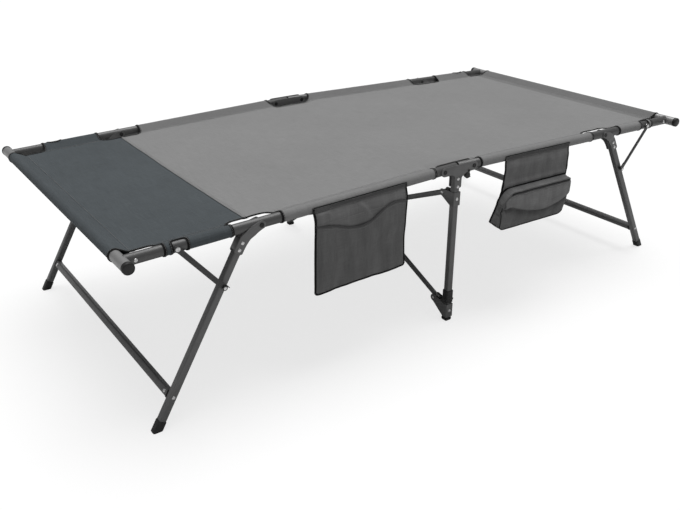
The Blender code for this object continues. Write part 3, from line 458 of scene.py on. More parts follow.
def woven(name, base, painted_band_level=0.76, sheen=0.03, contrast=1.0, painted_fold_shade=0.012, threads=None):
    made, tree, shader = new_material(name)
    uv = tree.nodes.new("ShaderNodeUVMap")
    uv.uv_map = "cut"
    spot = uv.outputs[0]
    cloth = placed(tree, "Plain weave", Vector=spot, Threads=threads or bpy.context.scene.cot_cloth.threads)
    shade = maths(tree, "SUBTRACT", times(tree, cloth["Shade"], cloth["Slow shade"]), 1.0)
    shade = maths(tree, "ADD", times(tree, shade, contrast), 1.0)
    # Painted shade: long streaks of lighter and darker tone stand in for the light and shade on the cloth's
    # folds
    fold_shade_streaks = mottle(tree, spot, 1.0, 4.0, 1 - painted_fold_shade, 1 + painted_fold_shade, (34.0, 7.0, 1.0))
    # Painted shade: cloth marked as a sleeve's band is darkened to the band level
    hem = ramp(tree, attribute(tree, "hem"), 0.0, 1.0, 1.0, painted_band_level)
    shade = times(tree, times(tree, shade, fold_shade_streaks), hem)
    dull = ramp(tree, cloth["Height"], 0.0, 1.0, 0.92, 0.78)
    shader.inputs["Specular IOR Level"].default_value = 0.2
    shader.inputs["Sheen Weight"].default_value = sheen
    shader.inputs["Sheen Roughness"].default_value = 0.5
    dress(tree, shader, shaded(tree, base, shade), dull, cloth["Height"], 0.35, 0.0003)
    return made


def thread_material(name, base):
    made, tree, shader = new_material(name)
    twist = noise_at(tree, on_object(tree), 1800.0, 2.0)
    shade, dull = ramp(tree, twist, 0.3, 0.7, 0.75, 1.15), ramp(tree, twist, 0.3, 0.7, 0.75, 0.6)
    dress(tree, shader, shaded(tree, base, shade), dull)
    return made


# Each look's name, maker, colour setting and shade of it, then what its maker takes besides
# Pocket weave: band shade level, sheen, contrast and strength of the painted fold shade
POCKET_WEAVE = (0.8, 0.04, 1.3, 0.16)
LOOKS = {
    "grey_steel": ("Grey powder coat", coated_steel, "steel", 1.0, 0.42, 0.35),
    # Painted shade: the grey coat darkened for the rails, which show only in the shade of their sleeves
    "shaded_rail_steel": ("Rail coat", coated_steel, "steel", 0.72, 0.42, 0.35),
    # Painted shade: the grey coat darkened for the props, which are seen edge-on in shade
    "dark_strip": ("Dark strip coat", coated_steel, "steel", 0.42, 0.4, 0.35),
    "bar_steel": ("Satin bar coat", coated_steel, "bar", 1.0, 0.38, 0.45),
    "black_steel": ("Blackened steel", coated_steel, "pin", 1.0, 0.35, 0.5),
    "zinc": ("Zinc rivet", bright_metal, "rivet", 1.0, 0.28),
    "black_plastic": ("Black plastic", moulded_plastic, "plastic", 1.0),
    "bed_fabric": ("Grey bed cloth", woven, "bed", 1.0),
    "head_fabric": ("Dark head cloth", woven, "head", 1.0, 0.9, 0.02, 1.6, 0.04),
    "pocket_fabric": ("Charcoal pocket cloth", woven, "pocket", 1.0, *POCKET_WEAVE),
    # Painted shade: the pocket cloth darkened for the lower front layers, which hang in shade
    "pocket_front": ("Dark pocket front", woven, "pocket", 0.80, *POCKET_WEAVE),
    "band_tape": ("Dark grey band", woven, "pocket", 0.50, 1.0, 0.02, 1.5, 0.012, 1200.0),
    "binding": ("Black binding tape", woven, "binding", 1.0, 1.0, 0.0, 1.6, 0.012, 1400.0),
    "bed_thread": ("Grey thread", thread_material, "thread", 1.0),
    "dark_thread": ("Dark thread", thread_material, "dark_thread", 1.0),
}
MATERIALS = {}


def finish(name):
    """The named material, made the first time that a piece asks for it."""
    if not MATERIALS:
        weave_group()
        coat_group()
        moulded_group()
    if name not in MATERIALS:
        label, maker, setting, shade, *rest = LOOKS[name]
        scene = bpy.context.scene
        group = scene.cot_frame if hasattr(scene.cot_frame, setting) else scene.cot_cloth
        MATERIALS[name] = maker(label, tuple(c * shade for c in getattr(group, setting)), *rest)
    return MATERIALS[name]


# Shapes
def aimed(origin, direction):
    """Frame at a place with its own Z along a direction."""
    return Matrix.Translation(origin) @ Vector(direction).to_track_quat("Z", "Y").to_matrix().to_4x4()


def arc(centre, radius, start, end, steps):
    """Points on an arc, with angles in degrees."""
    turns = (math.radians(start + (end - start) * i / steps) for i in range(steps + 1))
    return [(centre[0] + radius * math.cos(a), centre[1] + radius * math.sin(a)) for a in turns]


def curve(start, control, end, steps=10):
    """Points strictly inside a quadratic curve."""
    inside = []
    for i in range(1, steps):
        t = i / steps
        a, b, c = (1 - t) ** 2, 2 * t * (1 - t), t * t
        inside.append((a * start[0] + b * control[0] + c * end[0], a * start[1] + b * control[1] + c * end[1]))
    return inside


def rounded(width, height, corner, steps=5):
    """A rectangle with round corners, about the origin."""
    x, y = width / 2 - corner, height / 2 - corner
    points = []
    for turn, (cx, cy) in enumerate(((x, y), (-x, y), (-x, -y), (x, -y))):
        points += arc((cx, cy), corner, 90 * turn, 90 * turn + 90, steps)
    return points


def square(width=2 * LEG_HALF, corner=LEG_CORNER):
    return rounded(width, width, corner)


def face_of(bm, outline, origin, u, v):
    return bm.faces.new([bm.verts.new(Vector(origin) + u * a + v * b) for a, b in outline])


def merged(bm, within=1e-7):
    """Merges doubles and turns all faces outwards."""
    bmesh.ops.remove_doubles(bm, verts=bm.verts, dist=within)
    bmesh.ops.recalc_face_normals(bm, faces=bm.faces)
    return bm


def soften(bm, width=None, segments=2, angle=0.6):
    """Rounds the sharp edges and marks them for wear."""
    width = bpy.context.scene.cot_frame.edge if width is None else width
    layer = bm.faces.layers.float.get("edge") or bm.faces.layers.float.new("edge")
    merged(bm, 1e-6)
    sharp = [e for e in bm.edges if len(e.link_faces) == 2 and e.calc_face_angle() > angle]
    made = bmesh.ops.bevel(
        bm, geom=sharp, offset=width, offset_type="OFFSET", segments=segments, profile=0.5, affect="EDGES",
        material=-1, clamp_overlap=True,
    )
    for face in made["faces"]:
        face[layer] = 1.0
    return bm


def grown(levels, u, v):
    """A solid grown from its foot: each level is an outline and where its middle is."""
    bm = bmesh.new()
    top = face_of(bm, *levels[0], u, v)
    bmesh.ops.duplicate(bm, geom=[top])
    for outline, origin in levels[1:]:
        made = bmesh.ops.extrude_face_region(bm, geom=[top])
        old, top = top, next(f for f in made["geom"] if isinstance(f, bmesh.types.BMFace))
        if old.is_valid:
            bmesh.ops.delete(bm, geom=[old], context="FACES_ONLY")
        for vert, (a, b) in zip(top.verts, outline):
            vert.co = Vector(origin) + u * a + v * b
    return merged(bm)


def prism(outline, start, end, u, v):
    return grown([(outline, start), (outline, end)], u, v)


def bored(bm, direction, wall, depth):
    """Sinks a bore into the end of a tube that faces a direction."""
    direction = Vector(direction).normalized()
    bm.normal_update()
    caps = [f for f in bm.faces if f.normal.dot(direction) > 0.99 and len(f.verts) > 6]
    bmesh.ops.inset_region(bm, faces=caps, thickness=wall, use_even_offset=True)
    made = bmesh.ops.extrude_discrete_faces(bm, faces=caps)
    bmesh.ops.translate(bm, verts=list({v for f in made["faces"] for v in f.verts}), vec=-direction * depth)
    return bm


def rod(start, end, radius, sides=40):
    start, end = Vector(start), Vector(end)
    bm = bmesh.new()
    bmesh.ops.create_cone(
        bm, cap_ends=True, segments=sides, radius1=radius, radius2=radius, depth=(end - start).length,
        matrix=aimed((start + end) / 2, end - start),
    )
    return bm


def turned(profile, origin, axis, steps=24):
    """A solid of revolution from (radius, height) points that start and end on the axis."""
    bm = bmesh.new()
    axis = Vector(axis).normalized()
    side = axis.orthogonal().normalized()
    points = [bm.verts.new(Vector(origin) + axis * h + side * r) for r, h in profile]
    edges = [bm.edges.new(ends) for ends in zip(points, points[1:])]
    bmesh.ops.spin(
        bm, geom=points + edges, cent=origin, axis=axis, angle=2 * math.pi, steps=steps, use_merge=True
    )
    return merged(bm)


def plate(outline, low, high, bends=(), u=X, v=Z, origin=None, axis=Y):
    """A pressed plate from an outline, stepped out of plane between two bends."""
    origin = Vector(origin) if origin else Vector()
    bm = bmesh.new()
    face_of(bm, outline, origin, u, v)
    for direction, position, _ in bends:
        geometry = bm.verts[:] + bm.edges[:] + bm.faces[:]
        bmesh.ops.bisect_plane(bm, geom=geometry, plane_co=origin + direction * position, plane_no=direction)
    made = bmesh.ops.extrude_face_region(bm, geom=bm.faces[:])
    raised = {g for g in made["geom"] if isinstance(g, bmesh.types.BMVert)}
    for vert in bm.verts:
        shift = 0.0
        if bends:
            (direction, first, before), (_, last, after) = bends
            t = ((vert.co - origin).dot(direction) - first) / (last - first)
            t = min(max(t, 0.0), 1.0)
            shift = before + (after - before) * t
        vert.co += axis * ((high if vert in raised else low) + shift)
    return soften(bm)


def block(low, high):
    """A solid box between two corners."""
    bm = bmesh.new()
    low, high = Vector(low), Vector(high)
    fitted = Matrix.Translation((low + high) / 2) @ Matrix.Diagonal((*(high - low), 1))
    bmesh.ops.create_cube(bm, size=1.0, matrix=fitted)
    return soften(bm)


def together(*shapes):
    """All shapes in one mesh."""
    whole = bmesh.new()
    whole.faces.layers.float.new("edge")
    for shape in shapes:
        if not shape.faces.layers.float.get("edge"):
            shape.faces.layers.float.new("edge")
        mesh = bpy.data.meshes.new("shape")
        shape.to_mesh(mesh)
        shape.free()
        whole.from_mesh(mesh)
        bpy.data.meshes.remove(mesh)
    return whole


def mirrored(bm, way=1, side=1):
    """Takes a shape from the positive quarter to its own."""
    bmesh.ops.transform(bm, matrix=Matrix.Diagonal((way, side, 1, 1)), verts=bm.verts)
    if way * side < 0:
        bmesh.ops.reverse_faces(bm, faces=bm.faces)
    return bm


def piece(bm, name, look, body, node=None, slot=None):
    """Makes the finished object, hangs it on its body, and hides the CAD node that it stands for."""
    mesh = bpy.data.meshes.new(name)
    bm.to_mesh(mesh)
    bm.free()
    mesh.materials.append(finish(look))
    mesh.shade_smooth()
    mesh.set_sharp_from_angle(angle=math.radians(SHARP))
    obj = bpy.data.objects.new(name, mesh)
    bpy.context.scene.collection.objects.link(obj)
    if body:
        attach(obj, body)
    slot or SLOTS.get(look, look)
    if node:
        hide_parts(node)
    return obj


def quarter(rows, body, side, end=("", 1)):
    """Makes pieces in one quarter from rows of shape, name, look and CAD node."""
    (side_name, across), (end_name, along) = side, end
    before = f"{end_name}_" if end_name else ""
    for shape, name, look, node in rows:
        name, node = (f"{before}{word}_{side_name}" for word in (name, node))
        piece(mirrored(shape, along, across), name, look, body, node)


def pair(at, axis, away):
    """Two places on either side of a spot, each with the way it faces."""
    return [(at + axis * s * away, axis * s) for s in (-1, 1)]


def rivet(at, axis, radius=0.0048, height=0.0017):
    """Blind rivet's domed head with the dimple of its mandrel."""
    profile = [
        (0, 0.55), (0.26, 0.5), (0.34, 1), (0.62, 0.95), (0.88, 0.62), (1, 0.18), (1, 0), (0.55, -0.3),
        (0, -0.3),
    ]
    return turned([(radius * r, height * h) for r, h in profile], at, axis, 28)


def pin_head(at, axis, radius=0.0065, height=0.0015):
    """Hinge pin's flat head with a turned rim."""
    profile = [
        (0, 0.8), (0.5, 0.8), (0.62, 1), (0.82, 1), (0.97, 0.7), (1, 0.3), (1, 0), (0, 0),
    ]
    return turned([(radius * r, height * h) for r, h in profile], at, axis, 32)


def hinge_pin(at):
    """Shank across a rail with a head on either side."""
    heads = [pin_head(*place) for place in pair(at, Y, PIN_HALF)]
    return together(*heads, rod(at - Y * PIN_HALF, at + Y * PIN_HALF, PIN_R, 24))


def cheek_faces(side):
    """The two faces of the cheek on one side of a rail, the lower one first."""
    return [y + SIDE_Y for y in sorted((side * CHEEK_IN, side * (CHEEK_IN + PLATE)))]


def coped(bm, past):
    """Bends a rail's outer end round the end bar."""
    for vert in bm.verts:
        if vert.co.x > past:
            drop = vert.co.z - RAIL_END_Z
            vert.co.x = BAR_X - math.sqrt(max((BAR_R + 0.0002) ** 2 - drop * drop, 1e-8))
    return bm


# Operators
class COT_OT_stage(bpy.types.Operator):
    """Makes the floor, the lights and the camera"""

    bl_idname = "cot.stage"
    bl_label = "Studio"

    def execute(self, context):
        look = context.scene.cot_stage
        bm = bmesh.new()
        bmesh.ops.create_grid(bm, x_segments=8, y_segments=8, size=60.0)
        mesh = bpy.data.meshes.new("floor")
        bm.to_mesh(mesh)
        bm.free()
        floor = bpy.data.objects.new("floor", mesh)
        context.scene.collection.objects.link(floor)
        mesh.materials.append(self.floor_material(tuple(look.floor)))
        self.world(context, look.fill)
        lamp = bpy.data.lights.new("overhead", "SUN")
        lamp.energy = look.key
        lamp.angle = math.radians(50)
        holder = bpy.data.objects.new("overhead", lamp)
        holder.location = (0.8, 0.6, 4.0)
        holder.rotation_euler = SUN_WAY.to_track_quat("-Z", "Y").to_euler()
        context.scene.collection.objects.link(holder)
        self.camera(context)
        context.scene.view_settings.view_transform = "Standard"
        return {"FINISHED"}

    def floor_material(self, base):
        made, tree, shader = new_material("Pale floor")
        seen = tree.nodes.new("ShaderNodeLightPath").outputs["Is Camera Ray"]
        cloudy = mottle(tree, on_object(tree), 3.0, 3.0, 0.995, 1.005)
        level = times(tree, cloudy, ramp(tree, seen, 0.0, 1.0, 0.8, 0.34))
        tree.links.new(shaded(tree, base, level), shader.inputs["Base Color"])
        shader.inputs["Roughness"].default_value = 0.9
        shader.inputs["Specular IOR Level"].default_value = 0.1
        tree.links.new(times(tree, seen, 0.74), shader.inputs["Emission Strength"])
        shader.inputs["Emission Color"].default_value = (1, 1, 1, 1)
        below = tree.nodes.new("ShaderNodeNewGeometry").outputs["Backfacing"]
        tree.links.new(maths(tree, "SUBTRACT", 1.0, times(tree, seen, below)), shader.inputs["Alpha"])
        return made

    def world(self, context, strength):
        world = bpy.data.worlds.new("Studio")
        context.scene.world = world
        world.use_nodes = True
        tree = world.node_tree
        light = tree.nodes["Background"]
        light.inputs["Color"].default_value = (1, 1, 1, 1)
        path = tree.nodes.new("ShaderNodeLightPath")
        seen = maths(tree, "MAXIMUM", path.outputs["Is Camera Ray"], path.outputs["Is Transmission Ray"])
        tree.links.new(ramp(tree, seen, 0.0, 1.0, strength, 1.0), light.inputs["Strength"])

    def camera(self, context):
        yaw, pitch = CAMERA_YAW, CAMERA_PITCH
        ahead = Vector((math.cos(yaw) * math.cos(pitch), math.sin(yaw) * math.cos(pitch), math.sin(pitch)))
        lens = bpy.data.cameras.new("camera")
        lens.sensor_width = SENSOR
        lens.lens = LENS_PIXELS * SENSOR / PICTURE_PIXELS
        lens.clip_end = 200.0
        eye = bpy.data.objects.new("camera", lens)
        eye.location = CAMERA_AT
        eye.rotation_euler = ahead.to_track_quat("-Z", "Y").to_euler()
        context.scene.collection.objects.link(eye)
        context.scene.camera = eye


class COT_OT_half_frames(bpy.types.Operator):
    """Makes the rails with their rivets and pins, and the end bars with their caps"""

    bl_idname = "cot.half_frames"
    bl_label = "Rails and end bars"

    def execute(self, context):
        for end in ENDS:
            label, way = end
            body = f"{label}_half"
            rivets, pins = [], []
            for side in SIDES:
                rows = (
                    (self.rail(), "rail_tube", "shaded_rail_steel", "rail"),
                    (self.cap(), "bar_end_cap", "black_plastic", "bar_cap"),
                    (hinge_pin(leg_point(0, 0, SIDE_Y)), "leg_hinge_pin", "black_steel", "leg_pin"),
                )
                quarter(rows, body, side, end)
                at = rail_at(RAIL_RIVET_X) + Y * (RAIL_R - 0.0004)
                rivets.append(mirrored(rivet(at, Y), way, side[1]))
                pins.append(mirrored(self.prop_pin(), way, side[1]))
            piece(together(*rivets), f"{label}_rail_rivets", "zinc", body)
            piece(together(*pins), f"{label}_prop_pins", "zinc", body)
            piece(mirrored(self.bar(), way, 1), f"{label}_bar_tube", "bar_steel", body, f"{label}_bar")
        return {"FINISHED"}

    def rail(self):
        shape = rod(rail_at(RAIL_START), rail_at(BAR_X - 0.006), RAIL_R)
        bored(shape, -X, 0.0012, 0.04)
        return soften(coped(shape, 0.9), 0.0003)

    def bar(self):
        return rod((BAR_X, -BAR_END_Y, RAIL_END_Z), (BAR_X, BAR_END_Y, RAIL_END_Z), BAR_R, 48)

    def cap(self):
        low, top = BAR_END_Y + 0.0003, BAR_END_Y + 0.0003 + CAP_THICK
        profile = [
            (0, low - 0.006), (BAR_R - 0.002, low - 0.006), (BAR_R - 0.002, low), (CAP_R - 0.0004, low),
            (CAP_R, low + 0.0004), (CAP_R, low + 0.0022), (CAP_R - 0.0004, low + 0.0026),
            (CAP_R - 0.0003, low + 0.0032), (CAP_R, top - 0.0032), (CAP_R - 0.0006, top - 0.0018),
            (CAP_R - 0.0018, top - 0.0006), (CAP_R - 0.004, top), (0, top),
        ]
        return turned(profile, (BAR_X, 0, RAIL_END_Z), Y, 48)

    def prop_pin(self):
        at = PROP_PIN + SIDE
        washer = turned([(0, 0), (0.0065, 0), (0.0065, 0.0029), (0, 0.0029)], at + Y * (RAIL_R - 0.0005), Y)
        return together(washer, rivet(at + Y * 0.0193, Y, 0.0062, 0.0016))


class COT_OT_middle_frame(bpy.types.Operator):
    """Makes the saddles, the latch tabs and the middle legs with their pads and collars"""

    bl_idname = "cot.middle_frame"
    bl_label = "Middle frame"

    def execute(self, context):
        body = "middle_frame"
        rivets = []
        for side in SIDES:
            name, across = side
            quarter([(self.saddle(), "saddle_bracket", "grey_steel", "saddle")], body, side)
            for drop in (0.012, 0.036):
                at = Vector((0, SIDE_Y, MID_LEG_HIGH - drop))
                rivets += [mirrored(rivet(*place), 1, across) for place in pair(at, Y, RIVET_SEAT)]
            for end in ENDS:
                pin = hinge_pin(rail_at(SADDLE_PIN_X))
                quarter([(pin, "saddle_hinge_pin", "black_steel", "saddle_pin")], body, side, end)
            quarter([(self.tab(), "latch_lever", "black_plastic", "latch_tab")], f"latch_{name}", side)
            rows = (
                (self.leg(), "middle_post", "grey_steel", "middle_leg"),
                (self.pad(), "middle_foot", "black_plastic", "middle_pad"),
                (self.collar(), "post_collar", "black_plastic", "collar"),
            )
            quarter(rows, body, side)
        piece(together(*rivets), "saddle_rivets", "zinc", body)
        return {"FINISHED"}

    def leg(self):
        tube = prism(square(), SIDE + Z * 0.010, SIDE + Z * MID_LEG_HIGH, X, Y)
        return soften(bored(tube, Z, LEG_WALL, 0.05), 0.0002)

    def saddle(self):
        pin_x, pin_z = SADDLE_PIN_X, rail_z(SADDLE_PIN_X)
        cheek = 0.0135
        lower = pin_z - cheek
        foot = lower - TONGUE_LENGTH
        waist = (TONGUE_HALF, lower - TONGUE_LENGTH * 0.45)
        right = [(0.0, RAIL_MID_Z + 0.0125)] + arc((pin_x, pin_z), cheek, 90, -90, 24)
        right += [(CHEEK_FOOT_X, lower)]
        right += curve((CHEEK_FOOT_X, lower), (TONGUE_HALF, lower), waist) + [waist]
        right += arc((TONGUE_HALF - 0.005, foot + 0.005), 0.005, 0, -90, 6)
        outline = right + [(-x, z) for x, z in reversed(right[1:])]
        top = WEB_TOP - PLATE - 0.0045
        shapes = []
        for side in (-1, 1):
            bends = ((-Z, -top, 0.0), (-Z, -top + 0.009, side * (TONGUE_IN - CHEEK_IN)))
            shapes.append(plate(outline, *cheek_faces(side), bends))
        half, reach = 0.0124, 0.0153
        shapes.append(block((-half, SIDE_Y - reach, WEB_TOP - PLATE), (half, SIDE_Y + reach, WEB_TOP)))
        shapes.append(soften(rod(TAB_PIN + Y * CHEEK_IN, TAB_PIN + Y * (CHEEK_IN + PLATE), 0.005, 32)))
        return together(*shapes)

    def tab(self):
        centre = (TAB_PIN.x, TAB_PIN.z)
        low = TAB_PIN.z - 0.024
        outer, inner = TAB_PIN.x + 0.009, TAB_PIN.x - 0.009
        heel, toe = (outer, low + 0.0096), (inner, low + 0.006)
        outline = arc(centre, 0.0036, 180, 0, 12) + [heel]
        outline += curve(heel, (outer, low), (TAB_PIN.x, low), 8) + [(TAB_PIN.x, low)]
        outline += curve((TAB_PIN.x, low), (inner, low), toe, 8) + [toe]
        back = SIDE_Y + CHEEK_IN - 0.0023
        profile = [(0, 0), (0.0028, 0), (0.0028, 0.004), (0.0044, 0.0041), (0.0034, 0.0056), (0, 0.0056)]
        head = turned(profile, TAB_PIN + Y * (CHEEK_IN - 0.0013), Y)
        return together(plate(outline, back, back + 0.002), head)

    def pad(self):
        wide, low = square(0.024, 0.005), square(0.0205, 0.0045)
        levels = [(low, SIDE), (wide, SIDE + Z * 0.0026), (wide, SIDE + Z * 0.0082), (low, SIDE + Z * 0.0097)]
        return soften(grown(levels, X, Y), 0.0005)

    def collar(self):
        lip, base, wide = square(0.0232), square(0.0245), square(0.0275, 0.0045)
        rises = (
            (lip, 0), (base, 0.0008), (base, 0.010), (wide, 0.0102), (wide, 0.0148), (base, 0.015),
            (base, 0.0405), (lip, 0.042),
        )
        return soften(grown([(outline, SIDE + Z * (0.062 + rise)) for outline, rise in rises], X, Y), 0.0004)


class COT_OT_diagonals(bpy.types.Operator):
    """Makes the crossing diagonals and the brackets that hold them"""

    bl_idname = "cot.diagonals"
    bl_label = "Diagonals"

    def execute(self, context):
        body = "middle_frame"
        # Each diagonal is called after the leg whose foot it starts at
        for name, way in (("near", 1), ("far", -1)):
            quarter([(self.brace(), "diagonal_bar", "grey_steel", "diagonal")], body, (name, way), ("", way))
        cross = BRACE_LOW + (BRACE_HIGH - BRACE_LOW) * (-BRACE_LOW.y / (BRACE_HIGH.y - BRACE_LOW.y))
        centre = [rivet(*place) for place in pair(cross, X, BRACE_FACE)]
        centre.append(rod(cross - X * BRACE_FACE, cross + X * BRACE_FACE, 0.0028, 20))
        piece(together(*centre), "diagonal_centre_rivet", "zinc", body, "diagonal_rivet")
        rivets = []
        for side in SIDES:
            across = side[1]
            for label, low, height, end, way in (
                ("lower", 0.0125, 0.0455, BRACE_LOW, -across), ("upper", 0.385, 0.0425, BRACE_HIGH, across),
            ):
                tip = (abs(end.y), end.z)
                bracket = self.bracket(low, low + height, tip)
                quarter([(bracket, "brace_bracket", "grey_steel", "bracket")], body, side, (label, way))
                places = pair(Vector((0, *tip)), X, RIVET_SEAT)
                places.append(((0, SIDE_Y + RIVET_SEAT, low + height / 2), Y))
                rivets += [mirrored(rivet(*place), 1, across) for place in places]
        piece(together(*rivets), "brace_rivets", "zinc", body)
        return {"FINISHED"}

    def brace(self):
        along = (BRACE_HIGH - BRACE_LOW).normalized()
        start, end = BRACE_LOW - along * 0.011, BRACE_HIGH + along * 0.011
        shift = X * BRACE_SHIFT
        shape = prism(rounded(0.0096, 0.016, 0.0034), start + shift, end + shift, X, X.cross(along))
        bored(shape, along, 0.0012, 0.02)
        return soften(bored(shape, -along, 0.0012, 0.02), 0.0002)

    def bracket(self, low, high, tip):
        leg_in, outer = SIDE_Y - 0.006, SIDE_Y + 0.0123
        nose = arc(tip, 0.011, -90, -270, 20)
        outline = [(outer, high), (outer, low), (leg_in, low)] + nose + [(leg_in, high)]
        shapes = [plate(outline, TONGUE_IN, TONGUE_IN + PLATE, u=Y, v=Z, axis=X * s) for s in (-1, 1)]
        shapes.append(block(
            (-WEB_HALF, SIDE_Y + TONGUE_IN, low + 0.0001), (WEB_HALF, outer - 0.0001, high - 0.0001)
        ))
        spot = Vector((0, *tip))
        shapes.append(rod(spot - X * TONGUE_IN, spot, 0.0056, 24))
        return together(*shapes)


class COT_OT_leg_frames(bpy.types.Operator):
    """Makes the splayed legs, their ear brackets, shoes and cross bars"""

    bl_idname = "cot.leg_frames"
    bl_label = "Leg frames"

    def execute(self, context):
        for end in ENDS:
            label, way = end
            body = f"{label}_legs"
            rivets, studs, plugs = [], [], []
            for side in SIDES:
                across = side[1]
                rows = (
                    (self.leg(), "leg_tube", "grey_steel", "leg"),
                    (self.ears(), "ear_bracket", "grey_steel", "leg_bracket"),
                    (self.shoe(), "foot_shoe", "black_plastic", "shoe"),
                )
                quarter(rows, body, side, end)
                places = []
                for t in EAR_RIVETS:
                    places += pair(leg_point(t, LEG_OFFSET, SIDE_Y), Y, RIVET_SEAT)
                places.append((leg_point(CROSS_T, LEG_OFFSET, SIDE_Y + LEG_HALF), Y))
                places.append((leg_point(CROSS_T, LEG_OFFSET + LEG_HALF, SIDE_Y - 0.027), LEG_OUT))
                places.append((leg_point(PROP_STUD_T, LEG_OFFSET, SIDE_Y + 0.0226), Y, 0.0045, 0.0012))
                rivets += [mirrored(rivet(*place), way, across) for place in places]
                studs.append(mirrored(self.stud(), way, across))
                plugs.append(mirrored(self.plug(), way, across))
            piece(together(*rivets), f"{label}_leg_rivets", "zinc", body)
            piece(together(*studs), f"{label}_leg_studs", "black_steel", body)
            piece(together(*plugs), f"{label}_cross_plugs", "black_plastic", body)
            half = SIDE_Y - 0.0133
            ends = [leg_point(CROSS_T, LEG_OFFSET, y) for y in (-half, half)]
            bar = soften(prism(square(), *ends, LEG_OUT, LEG_DOWN), 0.0002)
            piece(mirrored(bar, way, 1), f"{label}_cross_tube", "grey_steel", body, f"{label}_cross_bar")
        return {"FINISHED"}

    def leg(self):
        start, end = (leg_point(t, LEG_OFFSET, SIDE_Y) for t in (LEG_TOP, LEG_LENGTH - 0.012))
        return soften(bored(prism(square(), start, end, LEG_OUT, Y), -LEG_DOWN, LEG_WALL, 0.05), 0.0002)

    def plug(self):
        ends = [leg_point(CROSS_T, LEG_OFFSET, SIDE_Y - y) for y in (0.0135, 0.0104)]
        return soften(prism(square(0.0222, 0.0045), *ends, LEG_OUT, LEG_DOWN))

    def ears(self):
        near, far = LEG_OFFSET - LEG_HALF - 0.0022, LEG_OFFSET + LEG_HALF + 0.0022
        lap = LEG_TOP + 0.006
        points = arc((0, 0), 0.0115, 130, 290, 22)
        points += curve(points[-1], (0.033, near), (EAR_LENGTH - 0.010, near))
        points += arc((EAR_LENGTH - 0.006, near + 0.006), 0.006, -90, 0, 6)
        points += arc((EAR_LENGTH - 0.006, far - 0.006), 0.006, 0, 90, 6)
        points += [(lap, far)] + curve((lap, far), (0.0115, far * 0.8), points[0])
        shapes = []
        for side in (-1, 1):
            bends = ((LEG_DOWN, 0.030, 0.0), (LEG_DOWN, 0.042, side * (TONGUE_IN - CHEEK_IN)))
            faces = cheek_faces(side)
            shapes.append(plate(points, *faces, bends, u=LEG_DOWN, v=LEG_OUT, origin=LEG_PIN))
        inner, outer = LEG_OFFSET + TONGUE_IN, far - 0.0001
        section = [(-WEB_HALF, inner), (WEB_HALF, inner), (WEB_HALF, outer), (-WEB_HALF, outer)]
        start, end = (leg_point(t, 0, SIDE_Y) for t in (LEG_TOP + 0.008, EAR_LENGTH - 0.007))
        return together(*shapes, soften(prism(section, start, end, Y, LEG_OUT)))

    def shoe(self):
        slim, wide = square(0.0222, 0.0046), square(0.023, 0.005)
        levels = ((slim, -0.030), (wide, -0.0265), (wide, 0.023))
        levels = [(outline, leg_point(LEG_LENGTH + t, LEG_OFFSET, SIDE_Y)) for outline, t in levels]
        shape = grown(levels, LEG_OUT, Y)
        geometry = shape.verts[:] + shape.edges[:] + shape.faces[:]
        bmesh.ops.bisect_plane(shape, geom=geometry, plane_co=(0, 0, 0), plane_no=-Z, clear_outer=True)
        bmesh.ops.edgeloop_fill(shape, edges=[e for e in shape.edges if e.is_boundary])
        return soften(shape, 0.0009, 3, 0.5)

    def stud(self):
        profile = [
            (0, 0.0090), (0.0042, 0.0090), (0.0042, 0.0208), (0.0062, 0.0209), (0.0068, 0.0214),
            (0.0064, 0.0224), (0.0045, 0.0228), (0, 0.0228),
        ]
        return turned(profile, leg_point(PROP_STUD_T, LEG_OFFSET, SIDE_Y), Y, 32)


class COT_OT_props(bpy.types.Operator):
    """Makes the lift-off props with their pressed beads"""

    bl_idname = "cot.props"
    bl_label = "Props"

    def execute(self, context):
        for end in ENDS:
            for side in SIDES:
                rows = [(self.prop(), "prop_strip", "dark_strip", "prop")]
                quarter(rows, f"{end[0]}_prop_{side[0]}", side, end)
        return {"FINISHED"}

    def prop(self):
        half, hook, neck = 0.007, 0.0045, 0.0119
        shoulder, tip, top = PROP_REACH - hook, PROP_REACH + 0.012, 0.009
        points = arc((0, 0), 0.0085, 60, 300, 24)
        points += [
            (neck, -half), (shoulder, -half), (shoulder, hook), (PROP_REACH, hook), (tip, hook + 0.0029),
            (tip + 0.001, top - 0.001), (tip - 0.002, top), (shoulder - 0.012, top), (shoulder - 0.022, half),
            (neck, half),
        ]
        low = SIDE_Y + PROP_IN
        body = plate(points, low, low + PROP_THICK, u=PROP_DOWN, v=PROP_UP, origin=PROP_PIN)
        return together(body, self.bead(0.0204, PROP_REACH - 0.0168, low + PROP_THICK))

    def bead(self, start, end, face):
        """A long pressed bead with round ends, made from a sphere drawn out."""
        wide, high, turn, third = 0.0026, 0.0012, 0.0025, 0.3333
        middle = PROP_PIN + PROP_DOWN * ((start + end) / 2) + Y * face
        half = (end - start) / 2 - turn
        bm = bmesh.new()
        bmesh.ops.create_uvsphere(bm, u_segments=24, v_segments=14, radius=1.0)
        for vert in bm.verts:
            x, y, z = vert.co
            reach = abs(x)
            keep = math.sqrt(max(0.0, 1 - (max(reach - third, 0.0) / (1 - third)) ** 2))
            along = math.copysign(min(reach * 3, 1.0) * half + (1 - keep) * turn, x)
            keep /= math.hypot(y, z) or 1.0
            vert.co = middle + PROP_DOWN * along + PROP_UP * (y * wide * keep) + Y * (z * high * keep)
        bmesh.ops.recalc_face_normals(bm, faces=bm.faces)
        return bm


# Cloth of the bed
def smooth_step(value, low, high):
    t = min(max((value - low) / (high - low), 0.0), 1.0)
    return t * t * (3 - 2 * t)


def noise_of(x, y, z):
    return noise.noise(Vector((x, y, z)))


